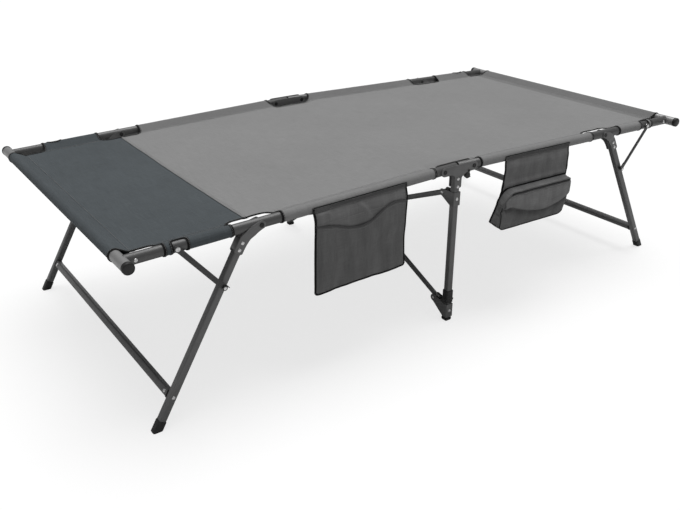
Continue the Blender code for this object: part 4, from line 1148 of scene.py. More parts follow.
def box_distance(u, v, low, high, top, foot, radius):
    """Distance from a rounded box, below zero inside it."""
    across = abs(u - (low + high) / 2) - ((high - low) / 2 - radius)
    down = abs(v - (top + foot) / 2) - (abs(foot - top) / 2 - radius)
    return math.hypot(max(across, 0.0), max(down, 0.0)) + min(max(across, down), 0.0) - radius


def cut_distances(x, s):
    """Distance from each cut-out's edge on the flat cut; below zero inside it."""
    x, s = abs(x), abs(s)
    return [box_distance(x, s, low, high, top, top + 0.5, radius) for low, high, top, radius, _ in CUTS]


def cut_distance(x, s):
    return min(cut_distances(x, s))


def slack_at(x, s):
    """How far the free edges of the cut-outs hang below the sleeves."""
    drop = 0.0
    for away, (low, high, _, _, depth) in zip(cut_distances(x, s), CUTS):
        span = smooth_step(abs(x), low - 0.010, low + 0.030) if low > 0 else 1.0
        span *= 1 - smooth_step(abs(x), high - 0.030, high + 0.010)
        drop = max(drop, depth * span * (1 - smooth_step(away, 0.0, 0.055)))
    return drop * (1 - smooth_step(abs(s), SEAM_S + 0.014, S_WRAP))


def cloth_frame(x, s):
    """Place and facing of the bed's cloth at a point of its flat cut."""
    look = bpy.context.scene.cot_cloth
    ax, a = abs(x), abs(s)
    sx, ss = math.copysign(1.0, x), math.copysign(1.0, s)
    if ax > SEAM_END:
        tilt, radius = BAR_TILT, BAR_SLEEVE_R
        if ax <= X_WRAP:
            run = ax - SEAM_END
            out = Vector((-sx * math.sin(tilt), 0, math.cos(tilt)))
            spot = Vector((sx * (SEAM_END + run * math.cos(tilt)), s, RAIL_END_Z + run * math.sin(tilt)))
            ripple = 0.0006 * noise_of(x * 20, s * 14, 3.0) * smooth_step(ax, SEAM_END, SEAM_END + 0.01)
            return spot + out * ripple, out
        turn = min((ax - X_WRAP) / radius, math.pi + 2 * tilt) - tilt
        out = Vector((sx * math.sin(turn), 0, math.cos(turn)))
        spot = Vector((sx * BAR_X, s, RAIL_END_Z)) + out * radius
        if ax > X_TURN:
            spot += Vector((-sx * math.cos(tilt), 0, math.sin(tilt))) * (min(ax, X_MEET) - X_TURN)
            spot.z -= 0.0013 * smooth_step(ax, X_TURN, X_MEET)
        if ax > X_MEET:
            out = -Z
            spot.x -= sx * (ax - X_MEET)
        return spot, out
    if a > SEAM_S:
        tilt, radius = SLEEVE_TILT, SLEEVE_R
        rise = 1 - smooth_step(ax, 0.930, SEAM_END - 0.004)
        if a <= S_WRAP:
            run = a - SEAM_S
            out = Vector((0, -ss * math.sin(tilt) * rise, math.cos(tilt))).normalized()
            y = SEAM_S + run * (1 + (math.cos(tilt) - 1) * rise)
            spot = Vector((x, ss * y, rail_z(x) + run * math.sin(tilt) * rise - slack_at(x, s)))
            ripple = 0.0005 * noise_of(x * 16, a * 30, 7.0) * smooth_step(a, SEAM_S, SEAM_S + 0.01)
            return spot + out * ripple, out
        turn = min((a - S_WRAP) / radius, math.pi + 2 * tilt) - tilt
        out = Vector((0, ss * math.sin(turn), math.cos(turn)))
        ripple = 0.00025 * noise_of(x * 30, a * 60, 7.0)
        spot = Vector((x, ss * SIDE_Y, rail_z(x))) + out * (radius + ripple)
        if a > S_TURN:
            spot += Vector((0, -ss * math.cos(tilt), math.sin(tilt))) * (min(a, S_MEET) - S_TURN)
            spot.z -= 0.0013 * smooth_step(a, S_TURN, S_MEET)
        if a > S_MEET:
            out = -Z
            spot.y -= ss * (a - S_MEET)
        return spot, out
    inner = (1 - smooth_step(a, 0.34, SEAM_S - 0.012)) * (1 - smooth_step(ax, 0.88, SEAM_END - 0.012))
    dip = look.sag * (1 - (a / SEAM_S) ** 2) * (1 - (ax / SEAM_END) ** 6)
    crest = 0.0018 * (1 - smooth_step(ax, 0.0, 0.09))
    waves = noise_of(x * 2.2, s * 9.0, 1.5) * 0.9 + noise_of(x * 9.0, s * 3.0, 8.0) * 0.4
    pulls = noise_of(x * 16.0 + s * 9.0, s * 5.0, 4.0) * 0.3
    near_cut = 1 - smooth_step(cut_distance(x, s), 0.0, 0.07)
    ruck = noise_of(x * 34.0, s * 15.0, 2.0) * 1.2 * near_cut * (1 - smooth_step(a, 0.405, 0.429))
    step = -0.0005 * math.exp(-(((a - SEAM_S + 0.0065) / 0.0030) ** 2))
    rise = -dip - crest + look.wrinkle * ((waves + pulls) * inner + ruck) + step - slack_at(x, s)
    return Vector((x, s, rail_z(x) + rise)), Z.copy()


def spread(marks, coarse, fine):
    """Stations between marks: (place, whether fine after it) pairs, ending with the last place."""
    stations = []
    for (start, tight), (end, _) in zip(marks, marks[1:]):
        step = fine if tight else coarse
        count = max(1, round(abs(end - start) / step))
        stations += [start + (end - start) * i / count for i in range(count)]
    return stations + [marks[-1][0]]


def even(start, end, step):
    return spread([(start, True), (end, True)], step, step)


def shaped_grid(columns, rows):
    """A grid whose corners lie at the given columns and rows."""
    bm = bmesh.new()
    bmesh.ops.create_grid(bm, x_segments=len(columns) - 1, y_segments=len(rows) - 1, size=1.0)
    for vert in bm.verts:
        i = round((vert.co.x + 1) / 2 * (len(columns) - 1))
        j = round((vert.co.y + 1) / 2 * (len(rows) - 1))
        vert.co = (columns[i], rows[j], 0.0)
    return bm


def keep_cut(bm, place=lambda u, v: (u, v)):
    """Stores each corner's place on the flat cut in the UV map."""
    layer = bm.loops.layers.uv.new("cut")
    for face in bm.faces:
        for loop in face.loops:
            loop[layer].uv = place(*loop.vert.co.xy)


def by(across, down):
    return lambda u, v: (u * across, v * down)


TAPE = by(0.003, 0.003)


def cut_away(bm, distance):
    """Takes away what lies within a distance of less than zero and draws the edge along it."""
    gone = [f for f in bm.faces if distance(*f.calc_center_median().xy) < 0.0]
    edge = {v for f in gone for v in f.verts}
    bmesh.ops.delete(bm, geom=gone, context="FACES")
    step = 1e-5
    for vert in [v for v in edge if v.is_valid]:
        x, s = vert.co.x, vert.co.y
        away = distance(x, s)
        slope = Vector((distance(x + step, s) - away, distance(x, s + step) - away, 0)) / step
        if slope.length > 0.1 and abs(away) < 0.006:
            vert.co -= slope.normalized() * away
    bmesh.ops.delete(bm, geom=[v for v in bm.verts if not v.link_faces], context="VERTS")


def laid(bm, surface, lift=None):
    """Takes a flat cut to its place on a surface and gives the area it has there."""
    for vert in bm.verts:
        u, v = vert.co.x, vert.co.y
        spot, out = surface(u, v)
        vert.co = spot + out * (lift(u, v) if lift else 0.0)
    bmesh.ops.recalc_face_normals(bm, faces=bm.faces)
    return sum(f.calc_area() for f in bm.faces)


def cut_area(laid_area, flat):
    """Area of the flat cut: what is laid, and never more than the piece it is cut from."""
    return min(laid_area, flat[0] * flat[1])


def faced(bm, direction):
    """Turns an open sheet's faces to look along a direction."""
    total = sum((f.normal * f.calc_area() for f in bm.faces), Vector())
    if total.dot(direction) < 0:
        bmesh.ops.reverse_faces(bm, faces=bm.faces)


def thick(bm, amount=0.0009):
    bmesh.ops.solidify(bm, geom=bm.faces[:], thickness=amount)
    return bm


def sewn(bm, surface, name, look, body, node=None, facing=-Y, amount=0.0008):
    """A flat cut's piece, laid on a surface and given its thickness, and the area it has there."""
    area = laid(bm, surface)
    faced(bm, facing)
    return piece(thick(bm, amount), name, look, body, node), area


def cloth_sheet(low, high, lift=None):
    """A part of the bed's cloth between two places along it."""
    marks = [
        (-X_END, True), (-0.930, True), (-0.800, False), (-0.740, True), (-0.570, False), (-0.115, True),
        (0.115, False), (0.570, True), (0.740, False), (0.800, True), (X_END, True),
    ]
    inside = [(low, next(t for p, t in reversed(marks) if p <= low + 1e-9))]
    inside += [(p, t) for p, t in marks if low < p < high] + [(high, True)]
    rows = spread([(0, False), (0.380, True), (S_END, True)], 0.012, 0.0029)
    rows = [-r for r in reversed(rows[1:])] + rows
    bm = shaped_grid(spread(inside, 0.011, 0.0033), rows)
    cut_away(bm, cut_distance)
    keep_cut(bm)
    # Painted shade: the far sleeve's band and the foot end's band are marked in full, the near sleeve and the
    # head end at a quarter, for the cloth's material to darken
    hem = bm.verts.layers.float.new("hem")
    for vert in bm.verts:
        x, s = vert.co.x, vert.co.y
        far = smooth_step(s, SEAM_S - 0.004, SEAM_S - 0.002)
        near = 0.25 * smooth_step(-s, SEAM_S - 0.001, SEAM_S + 0.001)
        foot = smooth_step(x, SEAM_END - 0.031, SEAM_END - 0.029)
        head = 0.25 * smooth_step(-x, SEAM_END - 0.001, SEAM_END + 0.001)
        vert[hem] = max(far + near, foot, head)
    area = laid(bm, cloth_frame, lift)
    middle = Vector(((low + high) / 2, 0, 0))
    probe = min(bm.faces, key=lambda f: sum(abs(c) for c in (f.calc_center_median() - middle).xy))
    if probe.normal.z < 0:
        bmesh.ops.reverse_faces(bm, faces=bm.faces)
    return thick(bm), area, (rows[-1] - rows[0], high - low)


def cut_outline(low, high, top, radius, reach, way, side):
    """A cut-out's edge from the sleeve's underside up, over and down, with the way into the cloth."""
    def corner(x, start):
        ways = arc((0, 0), 1.0, start, start + 90, 10)
        return [(x + a * radius, top + radius + b * radius, a, b) for a, b in ways]

    path = [(low, s, -1.0, 0.0) for s in even(reach, top + radius, 0.003)[:-1]] + corner(low + radius, 180)
    if high < BAR_X:
        path += [(x, top, 0.0, -1.0) for x in even(low + radius, high - radius, 0.003)[1:-1]]
        path += corner(high - radius, 270)
        path += [(high, s, 1.0, 0.0) for s in even(top + radius, reach, 0.003)[1:]]
    else:
        path += [(x, top, 0.0, -1.0) for x in even(low + radius, X_MEET - 0.004, 0.003)[1:]]
    return [(way * x, side * s, way * nx, side * ns) for x, s, nx, ns in path]


def wrapped(count, section, spot_at):
    """Tape with a section, drawn along a path: spot_at gives a place from its index and the section's point."""
    bm = shaped_grid(list(range(count)), list(range(len(section))))
    keep_cut(bm, TAPE)
    for vert in bm.verts:
        vert.co = spot_at(round(vert.co.x), *section[round(vert.co.y)])
    bmesh.ops.recalc_face_normals(bm, faces=bm.faces)
    return bm


def binding_along(path, surface, width=0.0060, high=0.0009, lift=0.0):
    """Tape folded over a cloth's edge along a path of places and the ways into the cloth."""
    section = (
        (width, high), (0.0012, high * 1.15), (-0.0008, high * 0.4), (-0.0008, -high * 0.9),
        (0.0012, -high * 1.8), (width, -high * 1.6),
    )

    def spot_at(index, inward, rise):
        u, v, nu, nv = path[index]
        spot, out = surface(u + nu * inward, v + nv * inward)
        return spot + out * (rise + lift)

    return wrapped(len(path), section, spot_at)


def stitch_row(points, surface, lift=0.0004, width=0.0006):
    """Stitches along a path on a cloth, each a small bar of thread."""
    look = bpy.context.scene.cot_cloth
    bm = bmesh.new()
    places, run = [], 0.0
    for u, v in points:
        spot, out = surface(u, v)
        spot = spot + out * lift
        run += (spot - places[-1][0]).length if places else 0.0
        places.append((spot, out, run))

    def at(distance):
        for (a, out, start), (b, _, end) in zip(places, places[1:]):
            if end >= distance:
                return a.lerp(b, (distance - start) / max(end - start, 1e-9)), out
        return places[-1][0], places[-1][1]

    pitch = look.stitch + look.gap
    for index in range(int((run - look.stitch) / pitch) + 1):
        a, out = at(index * pitch)
        b, _ = at(index * pitch + look.stitch)
        along = b - a
        if along.length < look.stitch * 0.5:
            continue
        ahead = along.normalized()
        across = ahead.cross(out).normalized()
        turn = Matrix((along, across * width, across.cross(ahead) * width * 0.8)).transposed().to_4x4()
        bmesh.ops.create_cube(bm, size=1.0, matrix=Matrix.Translation((a + b) / 2) @ turn)
    return bm


class COT_OT_bed(bpy.types.Operator):
    """Makes the head panel and the bed cloth with their sleeves, cut-outs, binding and stitching"""

    bl_idname = "cot.bed"
    bl_label = "Bed cloth"

    def execute(self, context):
        def under(x, s):
            return -0.0014 * smooth_step(x, HEAD_SEAM - 0.010, HEAD_SEAM - 0.002)

        def over(x, s):
            return 0.0006 * (1 - smooth_step(x, HEAD_SEAM + 0.002, HEAD_SEAM + 0.010))

        parts = (
            ("head_panel_cloth", -X_END, HEAD_SEAM + 0.008, "head_fabric", "head_panel", "head_half", under),
            ("bed_cloth_head_part", HEAD_SEAM - 0.002, 0.0, "bed_fabric", "bed_cloth_head", "head_half", over),
            ("bed_cloth_foot_part", 0.0, X_END, "bed_fabric", "bed_cloth_foot", "foot_half", None),
        )
        for name, low, high, look, node, body, lift in parts:
            bm, area, flat = cloth_sheet(low, high, lift)
            blended = name != "head_panel_cloth"
            sheet = piece(bm, name, look, None if blended else body, node)
            trims = self.trims(name, low, high, look, body, blended)
            if blended:
                way = -1 if "head" in name else 1
                for obj in [sheet, *trims]:
                    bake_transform(obj)
        return {"FINISHED"}

    def trims(self, name, low, high, look, body, blended):
        """Binding round the cut-outs and the rows of stitches of one part."""
        tapes, rows = [], []
        for start, end, top, radius, _ in CUTS:
            for way in (-1, 1) if start > 0 else (1,):
                for side in (-1, 1):
                    path = cut_outline(start, end, top, radius, S_MEET - 0.004, way, side)
                    path = [p for p in path if low - 1e-6 <= p[0] <= high + 1e-6]
                    if len(path) < 3:
                        continue
                    tapes.append(binding_along(path, cloth_frame, lift=0.0003))
                    inner = [(x + nx * 0.0042, s + ns * 0.0042) for x, s, nx, ns in path]
                    rows.append(stitch_row(inner, cloth_frame, 0.0015))
        for s in (SEAM_S - 0.0030, SEAM_S - 0.0100):
            for side in (-1, 1):
                line = [(x, side * s) for x in even(max(low, -SEAM_END), min(high, SEAM_END), 0.01)]
                rows.append(stitch_row([p for p in line if cut_distance(*p) > 0.006], cloth_frame))
        for x in (-SEAM_END, SEAM_END):
            if low < x < high:
                line = even(-SEAM_S + 0.002, SEAM_S - 0.002, 0.008)
                rows.append(stitch_row([(x - math.copysign(0.003, x), y) for y in line], cloth_frame))
        if name == "bed_cloth_head_part":
            for x in (HEAD_SEAM + 0.0005, HEAD_SEAM + 0.006):
                rows.append(stitch_row([(x, y) for y in even(-0.425, 0.425, 0.008)], cloth_frame, 0.0012))
        thread = "dark_thread" if look == "head_fabric" else "bed_thread"
        made = ((tapes, "binding", "binding"), (rows, "stitches", thread))
        return [
            piece(together(*shapes), f"{name}_{word}", trim, None if blended else body, slot=look)
            for shapes, word, trim in made
        ]


# Side pockets
def knots(pairs, t):
    """Height on a smooth line through given knots."""
    t = min(max(t, pairs[0][0]), pairs[-1][0])
    for i, ((a, low), (b, high)) in enumerate(zip(pairs, pairs[1:])):
        if t <= b:
            before, after = pairs[max(i - 1, 0)], pairs[min(i + 2, len(pairs) - 1)]
            s, span = (t - a) / (b - a), b - a
            rise = (high - before[1]) / (b - before[0]) * span
            fall = (after[1] - low) / (after[0] - a) * span
            left = low * (1 + 2 * s) + rise * s
            return left * (1 - s) ** 2 + (high * (3 - 2 * s) - fall * (1 - s)) * s * s


def hung(x, v, away, within=0.036):
    """Place and facing of cloth that starts on the near sleeve's top and hangs down outside it."""
    centre = rail_z(x)
    if v <= POCKET_BEND:
        turn = POCKET_START + v / POCKET_R
        out = Vector((0, -math.sin(turn), math.cos(turn)))
        return Vector((x, -SIDE_Y, centre)) + out * POCKET_R, out
    drop = v - POCKET_BEND
    ease = smooth_step(drop, 0.0, within)
    y = SIDE_Y + POCKET_R + (away - SIDE_Y - POCKET_R) * ease
    return Vector((x, -y, centre - drop)), Vector((0, -1, 0))


def organiser_frame(u, v):
    """Place and facing of the flat pocket's cloth: u along the bed, v down from its band."""
    left, right = FLAT_X
    t = (u - left) / (right - left)
    fall = v / FLAT_LENGTH
    x = u - 0.006 * fall * (1 - t) - 0.005 * math.sin(math.pi * min(fall, 1.0)) * t
    at_stud = smooth_step(0.032 - abs(x + FOLDED_STUD_X), 0.0, 0.018)
    spot, out = hung(x, v, POCKET_Y + 0.0018 * at_stud, 0.036 - 0.018 * at_stud)
    tuck = 0.0122 * smooth_step(fall, 0.45, 0.70) * smooth_step(t, 0.55, 0.78)
    spot += Vector((0.5 * tuck, 0, -0.75 * tuck * smooth_step(fall, 0.5, 1.0)))
    low = smooth_step(fall, 0.1, 0.6)
    folds = (0.0024 * noise_of(u * 22.0, v * 5.0, 3.0) + 0.0010 * math.sin(t * 9.0 + 1.0)) * low
    past_crease = u + 0.357 - (v - 0.013) * 0.68
    crease = 0.0040 * math.exp(-((past_crease / 0.008) ** 2))
    crease -= 0.0022 * math.exp(-(((past_crease - 0.014) / 0.009) ** 2))
    crease *= smooth_step(v, 0.008, 0.03) * (1 - smooth_step(v, 0.048, 0.072))
    ruck = 0.0007 * noise_of(u * 60.0, v * 40.0, 5.0) * smooth_step(fall, 0.03, 0.12)
    return spot + out * (max(folds + crease + ruck, -0.0014) - tuck), out


def scoop_at(u):
    left, right = FLAT_X
    return FLAT_LENGTH * knots(SCOOP, (u - left) / (right - left))


def organiser_front(u, w):
    """The front layer: from its scooped edge to the bottom."""
    left, right = FLAT_X
    t = (u - left) / (right - left)
    top = scoop_at(u)
    v = top + w * (FLAT_LENGTH - 0.002 - top)
    spot, out = organiser_frame(u, v)
    belly = 0.0046 * math.sin(math.pi * min(max(t, 0), 1)) ** 0.6
    belly *= (1 - w) ** 0.55 * smooth_step(w, -0.25, 0.30)
    swag = 0.0030 * noise_of(u * 24.0 + w * 1.2, w * 2.2, 11.0)
    swag += 0.0006 * math.sin(u * 120.0 + w * 2.0) * (1 - w)
    edge = min(smooth_step(t, 0.0, 0.07), smooth_step(1 - t, 0.0, 0.07), smooth_step(1 - w, 0.0, 0.08))
    return spot + out * (0.0013 + max(belly + swag + 0.0008, 0.0) * edge), out


def pocket_band(surface, left, right, width):
    """A pocket's band tape, and the binding over its top edge."""
    top = [(u, 0.0, 0.0, 1.0) for u in even(left, right, 0.004)]
    tapes = ((width, 0.0011, 0.0004), (0.0016, 0.0013, 0.0005))
    return [binding_along(top, surface, *tape) for tape in tapes]


def swinging(pieces, ends, slant):
    """Bakes the places of what crosses a pocket's band, between the half frame and the pocket, into their
    meshes; the line it would bend about is worked out and not used.
    """
    middle, y = sum(ends) / 2, -0.48
    start, end = (middle, y, rail_z(middle) + 0.004), (middle + slant, y, rail_z(middle) - 0.014)
    for obj in pieces:
        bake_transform(obj)
        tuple(start)
        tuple(end)


class COT_OT_organiser(bpy.types.Operator):
    """Makes the flat pocket: band, back cloth, scooped inner pocket, binding and stitching"""

    bl_idname = "cot.organiser"
    bl_label = "Organiser pocket"

    def execute(self, context):
        left, right = FLAT_X
        corner = 0.010
        columns = even(left, right, 0.004)

        def outside(u, v, low=FLAT_LENGTH):
            return -box_distance(u, v, left, right, -0.3, low, corner)

        def on_cut(u, w):
            return u, scoop_at(u) + w * (FLAT_LENGTH - scoop_at(u))

        back = shaped_grid(columns, even(0.0, FLAT_LENGTH, 0.0035))
        cut_away(back, outside)
        keep_cut(back)
        sheet, area = sewn(
            back, organiser_frame, "organiser_back", "pocket_fabric", None, "organiser_pocket", amount=0.0009
        )
        front = shaped_grid(columns, even(0.0, 1.0, 1 / 60))
        keep_cut(front, on_cut)
        cut_away(front, lambda u, w: outside(*on_cut(u, w), FLAT_LENGTH - 0.001))
        pocket, front_area = sewn(front, organiser_front, "organiser_front", "pocket_front", "organiser_pocket")

        path = self.outline(left, right, corner)
        tape = binding_along(path, organiser_frame, 0.0046, 0.0012, 0.0008)
        band, edge_top = pocket_band(organiser_frame, left, right, 0.0122)
        bound = piece(together(tape, edge_top), "organiser_binding", "binding", None, slot="pocket_fabric")
        band = piece(band, "organiser_band", "band_tape", None)
        rim = self.rim(even(left + 0.003, right - 0.003, 0.003))
        rim = piece(rim, "organiser_rim", "band_tape", "organiser_pocket")
        sewn_line = [(u + nu * 0.0070, v + nv * 0.0070) for u, v, nu, nv in path if v > 0.016]
        inner = even(left + 0.008, right - 0.008, 0.005)
        front_line = [(u, 0.0075 / (FLAT_LENGTH - scoop_at(u))) for u in inner]
        rows = [
            stitch_row([p for p in sewn_line if p[1] < scoop_at(p[0])], organiser_frame, 0.0014),
            stitch_row(front_line, organiser_front, 0.0012),
        ]
        for v in (0.0018, 0.0108):
            rows.append(stitch_row([(u, v) for u in even(left, right, 0.006)], organiser_frame, 0.0019))
        thread = piece(together(*rows), "organiser_stitches", "dark_thread", None, slot="pocket_fabric")
        trims = [bound, band, thread]
        swinging([sheet, *trims], FLAT_X, 0.0004)
        for obj, high, on, laid_area, with_it in (
            (sheet, FLAT_LENGTH, "bed_cloth_head_part", area, trims),
            (pocket, FLAT_LENGTH * 0.84, "organiser_back", front_area, [rim]),
        ):
            flat = (right - left, high)
            cut_area(laid_area, flat)
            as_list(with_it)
        return {"FINISHED"}

    def outline(self, left, right, corner):
        """The pocket's free edge: down the left side, along the bottom and up the right side."""
        def turn(x, start, end):
            return [
                (x + a * corner, FLAT_LENGTH - corner + b * corner, -a, -b)
                for a, b in arc((0, 0), 1.0, start, end, 8)
            ]

        path = [(left, v, 1.0, 0.0) for v in even(0.0, FLAT_LENGTH - corner, 0.003)[:-1]]
        path += turn(left + corner, 180, 90)
        path += [(u, FLAT_LENGTH, 0.0, -1.0) for u in even(left + corner, right - corner, 0.004)[1:-1]]
        path += turn(right - corner, 90, 0)
        return path + [(right, v, -1.0, 0.0) for v in even(FLAT_LENGTH - corner, 0.0, 0.003)[1:]]

    def rim(self, places):
        """Tape over the front layer's scooped edge."""
        section = (
            (0.0036, 0.0006), (0.001, 0.0011), (-0.0009, 0.0004), (-0.0009, -0.0008), (0.001, -0.0012),
            (0.0036, -0.0011),
        )

        def spot_at(index, down, rise):
            u = places[index]
            spot, out = organiser_front(u, max(down, 0.0) / (FLAT_LENGTH - scoop_at(u)))
            return spot + out * rise - Z * min(down, 0.0)

        return wrapped(len(places), section, spot_at)


def pouch_sides(fall):
    """Left and right edge of the pouch pocket, which leans as it hangs."""
    left, right = POUCH_X
    return left - knots(LEFT_LEAN, fall), right - knots(RIGHT_LEAN, fall)


def pouch_x(t, fall):
    left, right = pouch_sides(fall)
    return left + (right - left) * t


def pouch_back(t, v):
    """The panel that hangs from the band and carries the pouch."""
    fall = v / POUCH_LEAN
    spot, out = hung(pouch_x(t, fall), v, POCKET_Y)
    loose = smooth_step(v, 0.010, 0.026) * (1 - smooth_step(v, 0.086, 0.103))
    belly = -0.0010 * math.sin(math.pi * t) * loose
    ruck = 0.0026 * noise_of(t * 9.0, v * 22.0, 2.0) + 0.0007 * noise_of(t * 26.0, v * 60.0, 6.0)
    seam = 0.0010 * math.exp(-(((v - 0.1035) / 0.004) ** 2))
    roll = 0.0060 * math.exp(-(((v - 0.0885) / 0.0085) ** 2))
    roll *= smooth_step(t, 0.0, 0.06) * smooth_step(1 - t, 0.0, 0.05)
    return spot + out * (max(belly + ruck * loose, -0.0014) + seam + roll), out


def bulge(reach):
    """Height of a quarter circle over its reach, from 0 at its foot to 1."""
    return math.sqrt(max(0.0, 1 - (1 - min(max(reach, 0.0), 1.0)) ** 2))


def pouch_top(t):
    """Height of the pouch's top edge against the rail, rounded down at its two corners."""
    return POUCH_TOP - 0.036 * (1 - bulge(t / 0.13)) - 0.008 * (1 - bulge((1 - t) / 0.035))


def pouch_face(t, w):
    """The pouch's front, from its top edge (w = 0) to its bottom (w = 1)."""
    top = pouch_top(t)
    corner = 1 - bulge(1 - max((t - 0.90) / 0.10, (0.03 - t) / 0.03, 0.0))
    drop = top + (POUCH_FOOT + (0.017 if t > 0.5 else 0.004) * corner - top) * w
    x = pouch_x(t, (POCKET_BEND - drop) / POUCH_LEAN)
    side = bulge(min(t, 1 - t) / 0.06)
    brow = bulge(w / 0.10)
    full = 0.0290 + 0.0190 * smooth_step(w, 0.0, 1.0)
    below = w - flap_edge(t)
    full -= 0.0045 * math.exp(-((max(below, 0.0) / 0.10) ** 2)) * smooth_step(below, -0.03, 0.01)
    depth = full * (0.84 + 0.16 * side * (0.35 + 0.65 * brow))
    depth += 0.0014 * noise_of(t * 7.0, w * 5.0, 9.0) * side
    return Vector((x, POUCH_BACK_Y - depth, rail_z(x) + drop)), Vector((0, -1, 0))


def flap_edge(t):
    """How far down the front the drooping upper part reaches."""
    return knots(FLAP_DROOP, t)


def pouch_flap(t, q):
    """The full, drooping upper part of the front: from the zip (q = 0) to its edge (q = 1)."""
    spot, out = pouch_face(t, FLAP_TOP + q * (flap_edge(t) - FLAP_TOP))
    middle = math.sin(math.pi * min(max(t, 0), 1)) ** 0.5
    roll = math.sin(q / 0.9 * math.pi / 2) ** 0.8 if q < 0.9 else bulge((1 - q) / 0.1)
    lift = 0.0012 + (0.0045 + 0.0075 * middle) * roll
    folds = 0.0016 * noise_of(t * 6.0, q * 2.0, 21.0) * middle * roll
    pull = 0.0013 * math.exp(-(((t - 0.14 - q * 0.10) / 0.022) ** 2)) * (1 - q)
    return spot + out * (lift + folds * min(q * 3, 1.0) + pull), out


def pouch_rim(count=46):
    """Places round the pouch's outline: left side up, over the top, right side down."""
    places = [(0.0, w) for w in even(1.0, 0.0, 1 / 30)]
    places += [(t, 0.0) for t in even(0.0, 1.0, 1 / count)[1:-1]]
    return places + [(1.0, w) for w in even(0.0, 1.0, 1 / 30)]


def pouch_wall(place, depth):
    """A place on the gusset between the back panel (0) and the front (1)."""
    t, w = place
    front, _ = pouch_face(t, w)
    back = Vector((front.x, POUCH_BACK_Y, front.z + POUCH_RISE * smooth_step(w, 0.2, 1.0)))
    spot = back.lerp(front, depth)
    swell = math.sin(math.pi * depth)
    pinch = 0.0028 * swell
    crumple = 0.0045 * noise_of(t * 5 + depth * 5, w * 6.0, 31.0) * swell
    if w <= 0.0:
        return spot + Z * (0.006 * (1 - depth) - pinch * 0.4 + crumple * 0.3)
    return spot + X * (pinch * (1 if t < 0.5 else -1) + crumple)


def pouch_floor(t, depth):
    """A place on the pouch's floor between the back panel (0) and the front (1)."""
    front, _ = pouch_face(t, 1.0)
    back = Vector((front.x, POUCH_BACK_Y, front.z + POUCH_RISE))
    return back.lerp(front, depth) - Z * 0.0020 * math.sin(math.pi * depth)


def zip_place(t, back=0.0):
    """The zip runs along the front's top edge."""
    spot, _ = pouch_face(t, 0.055)
    return spot + Vector((0, -0.0006 - back, 0.0016 - back * 0.25))


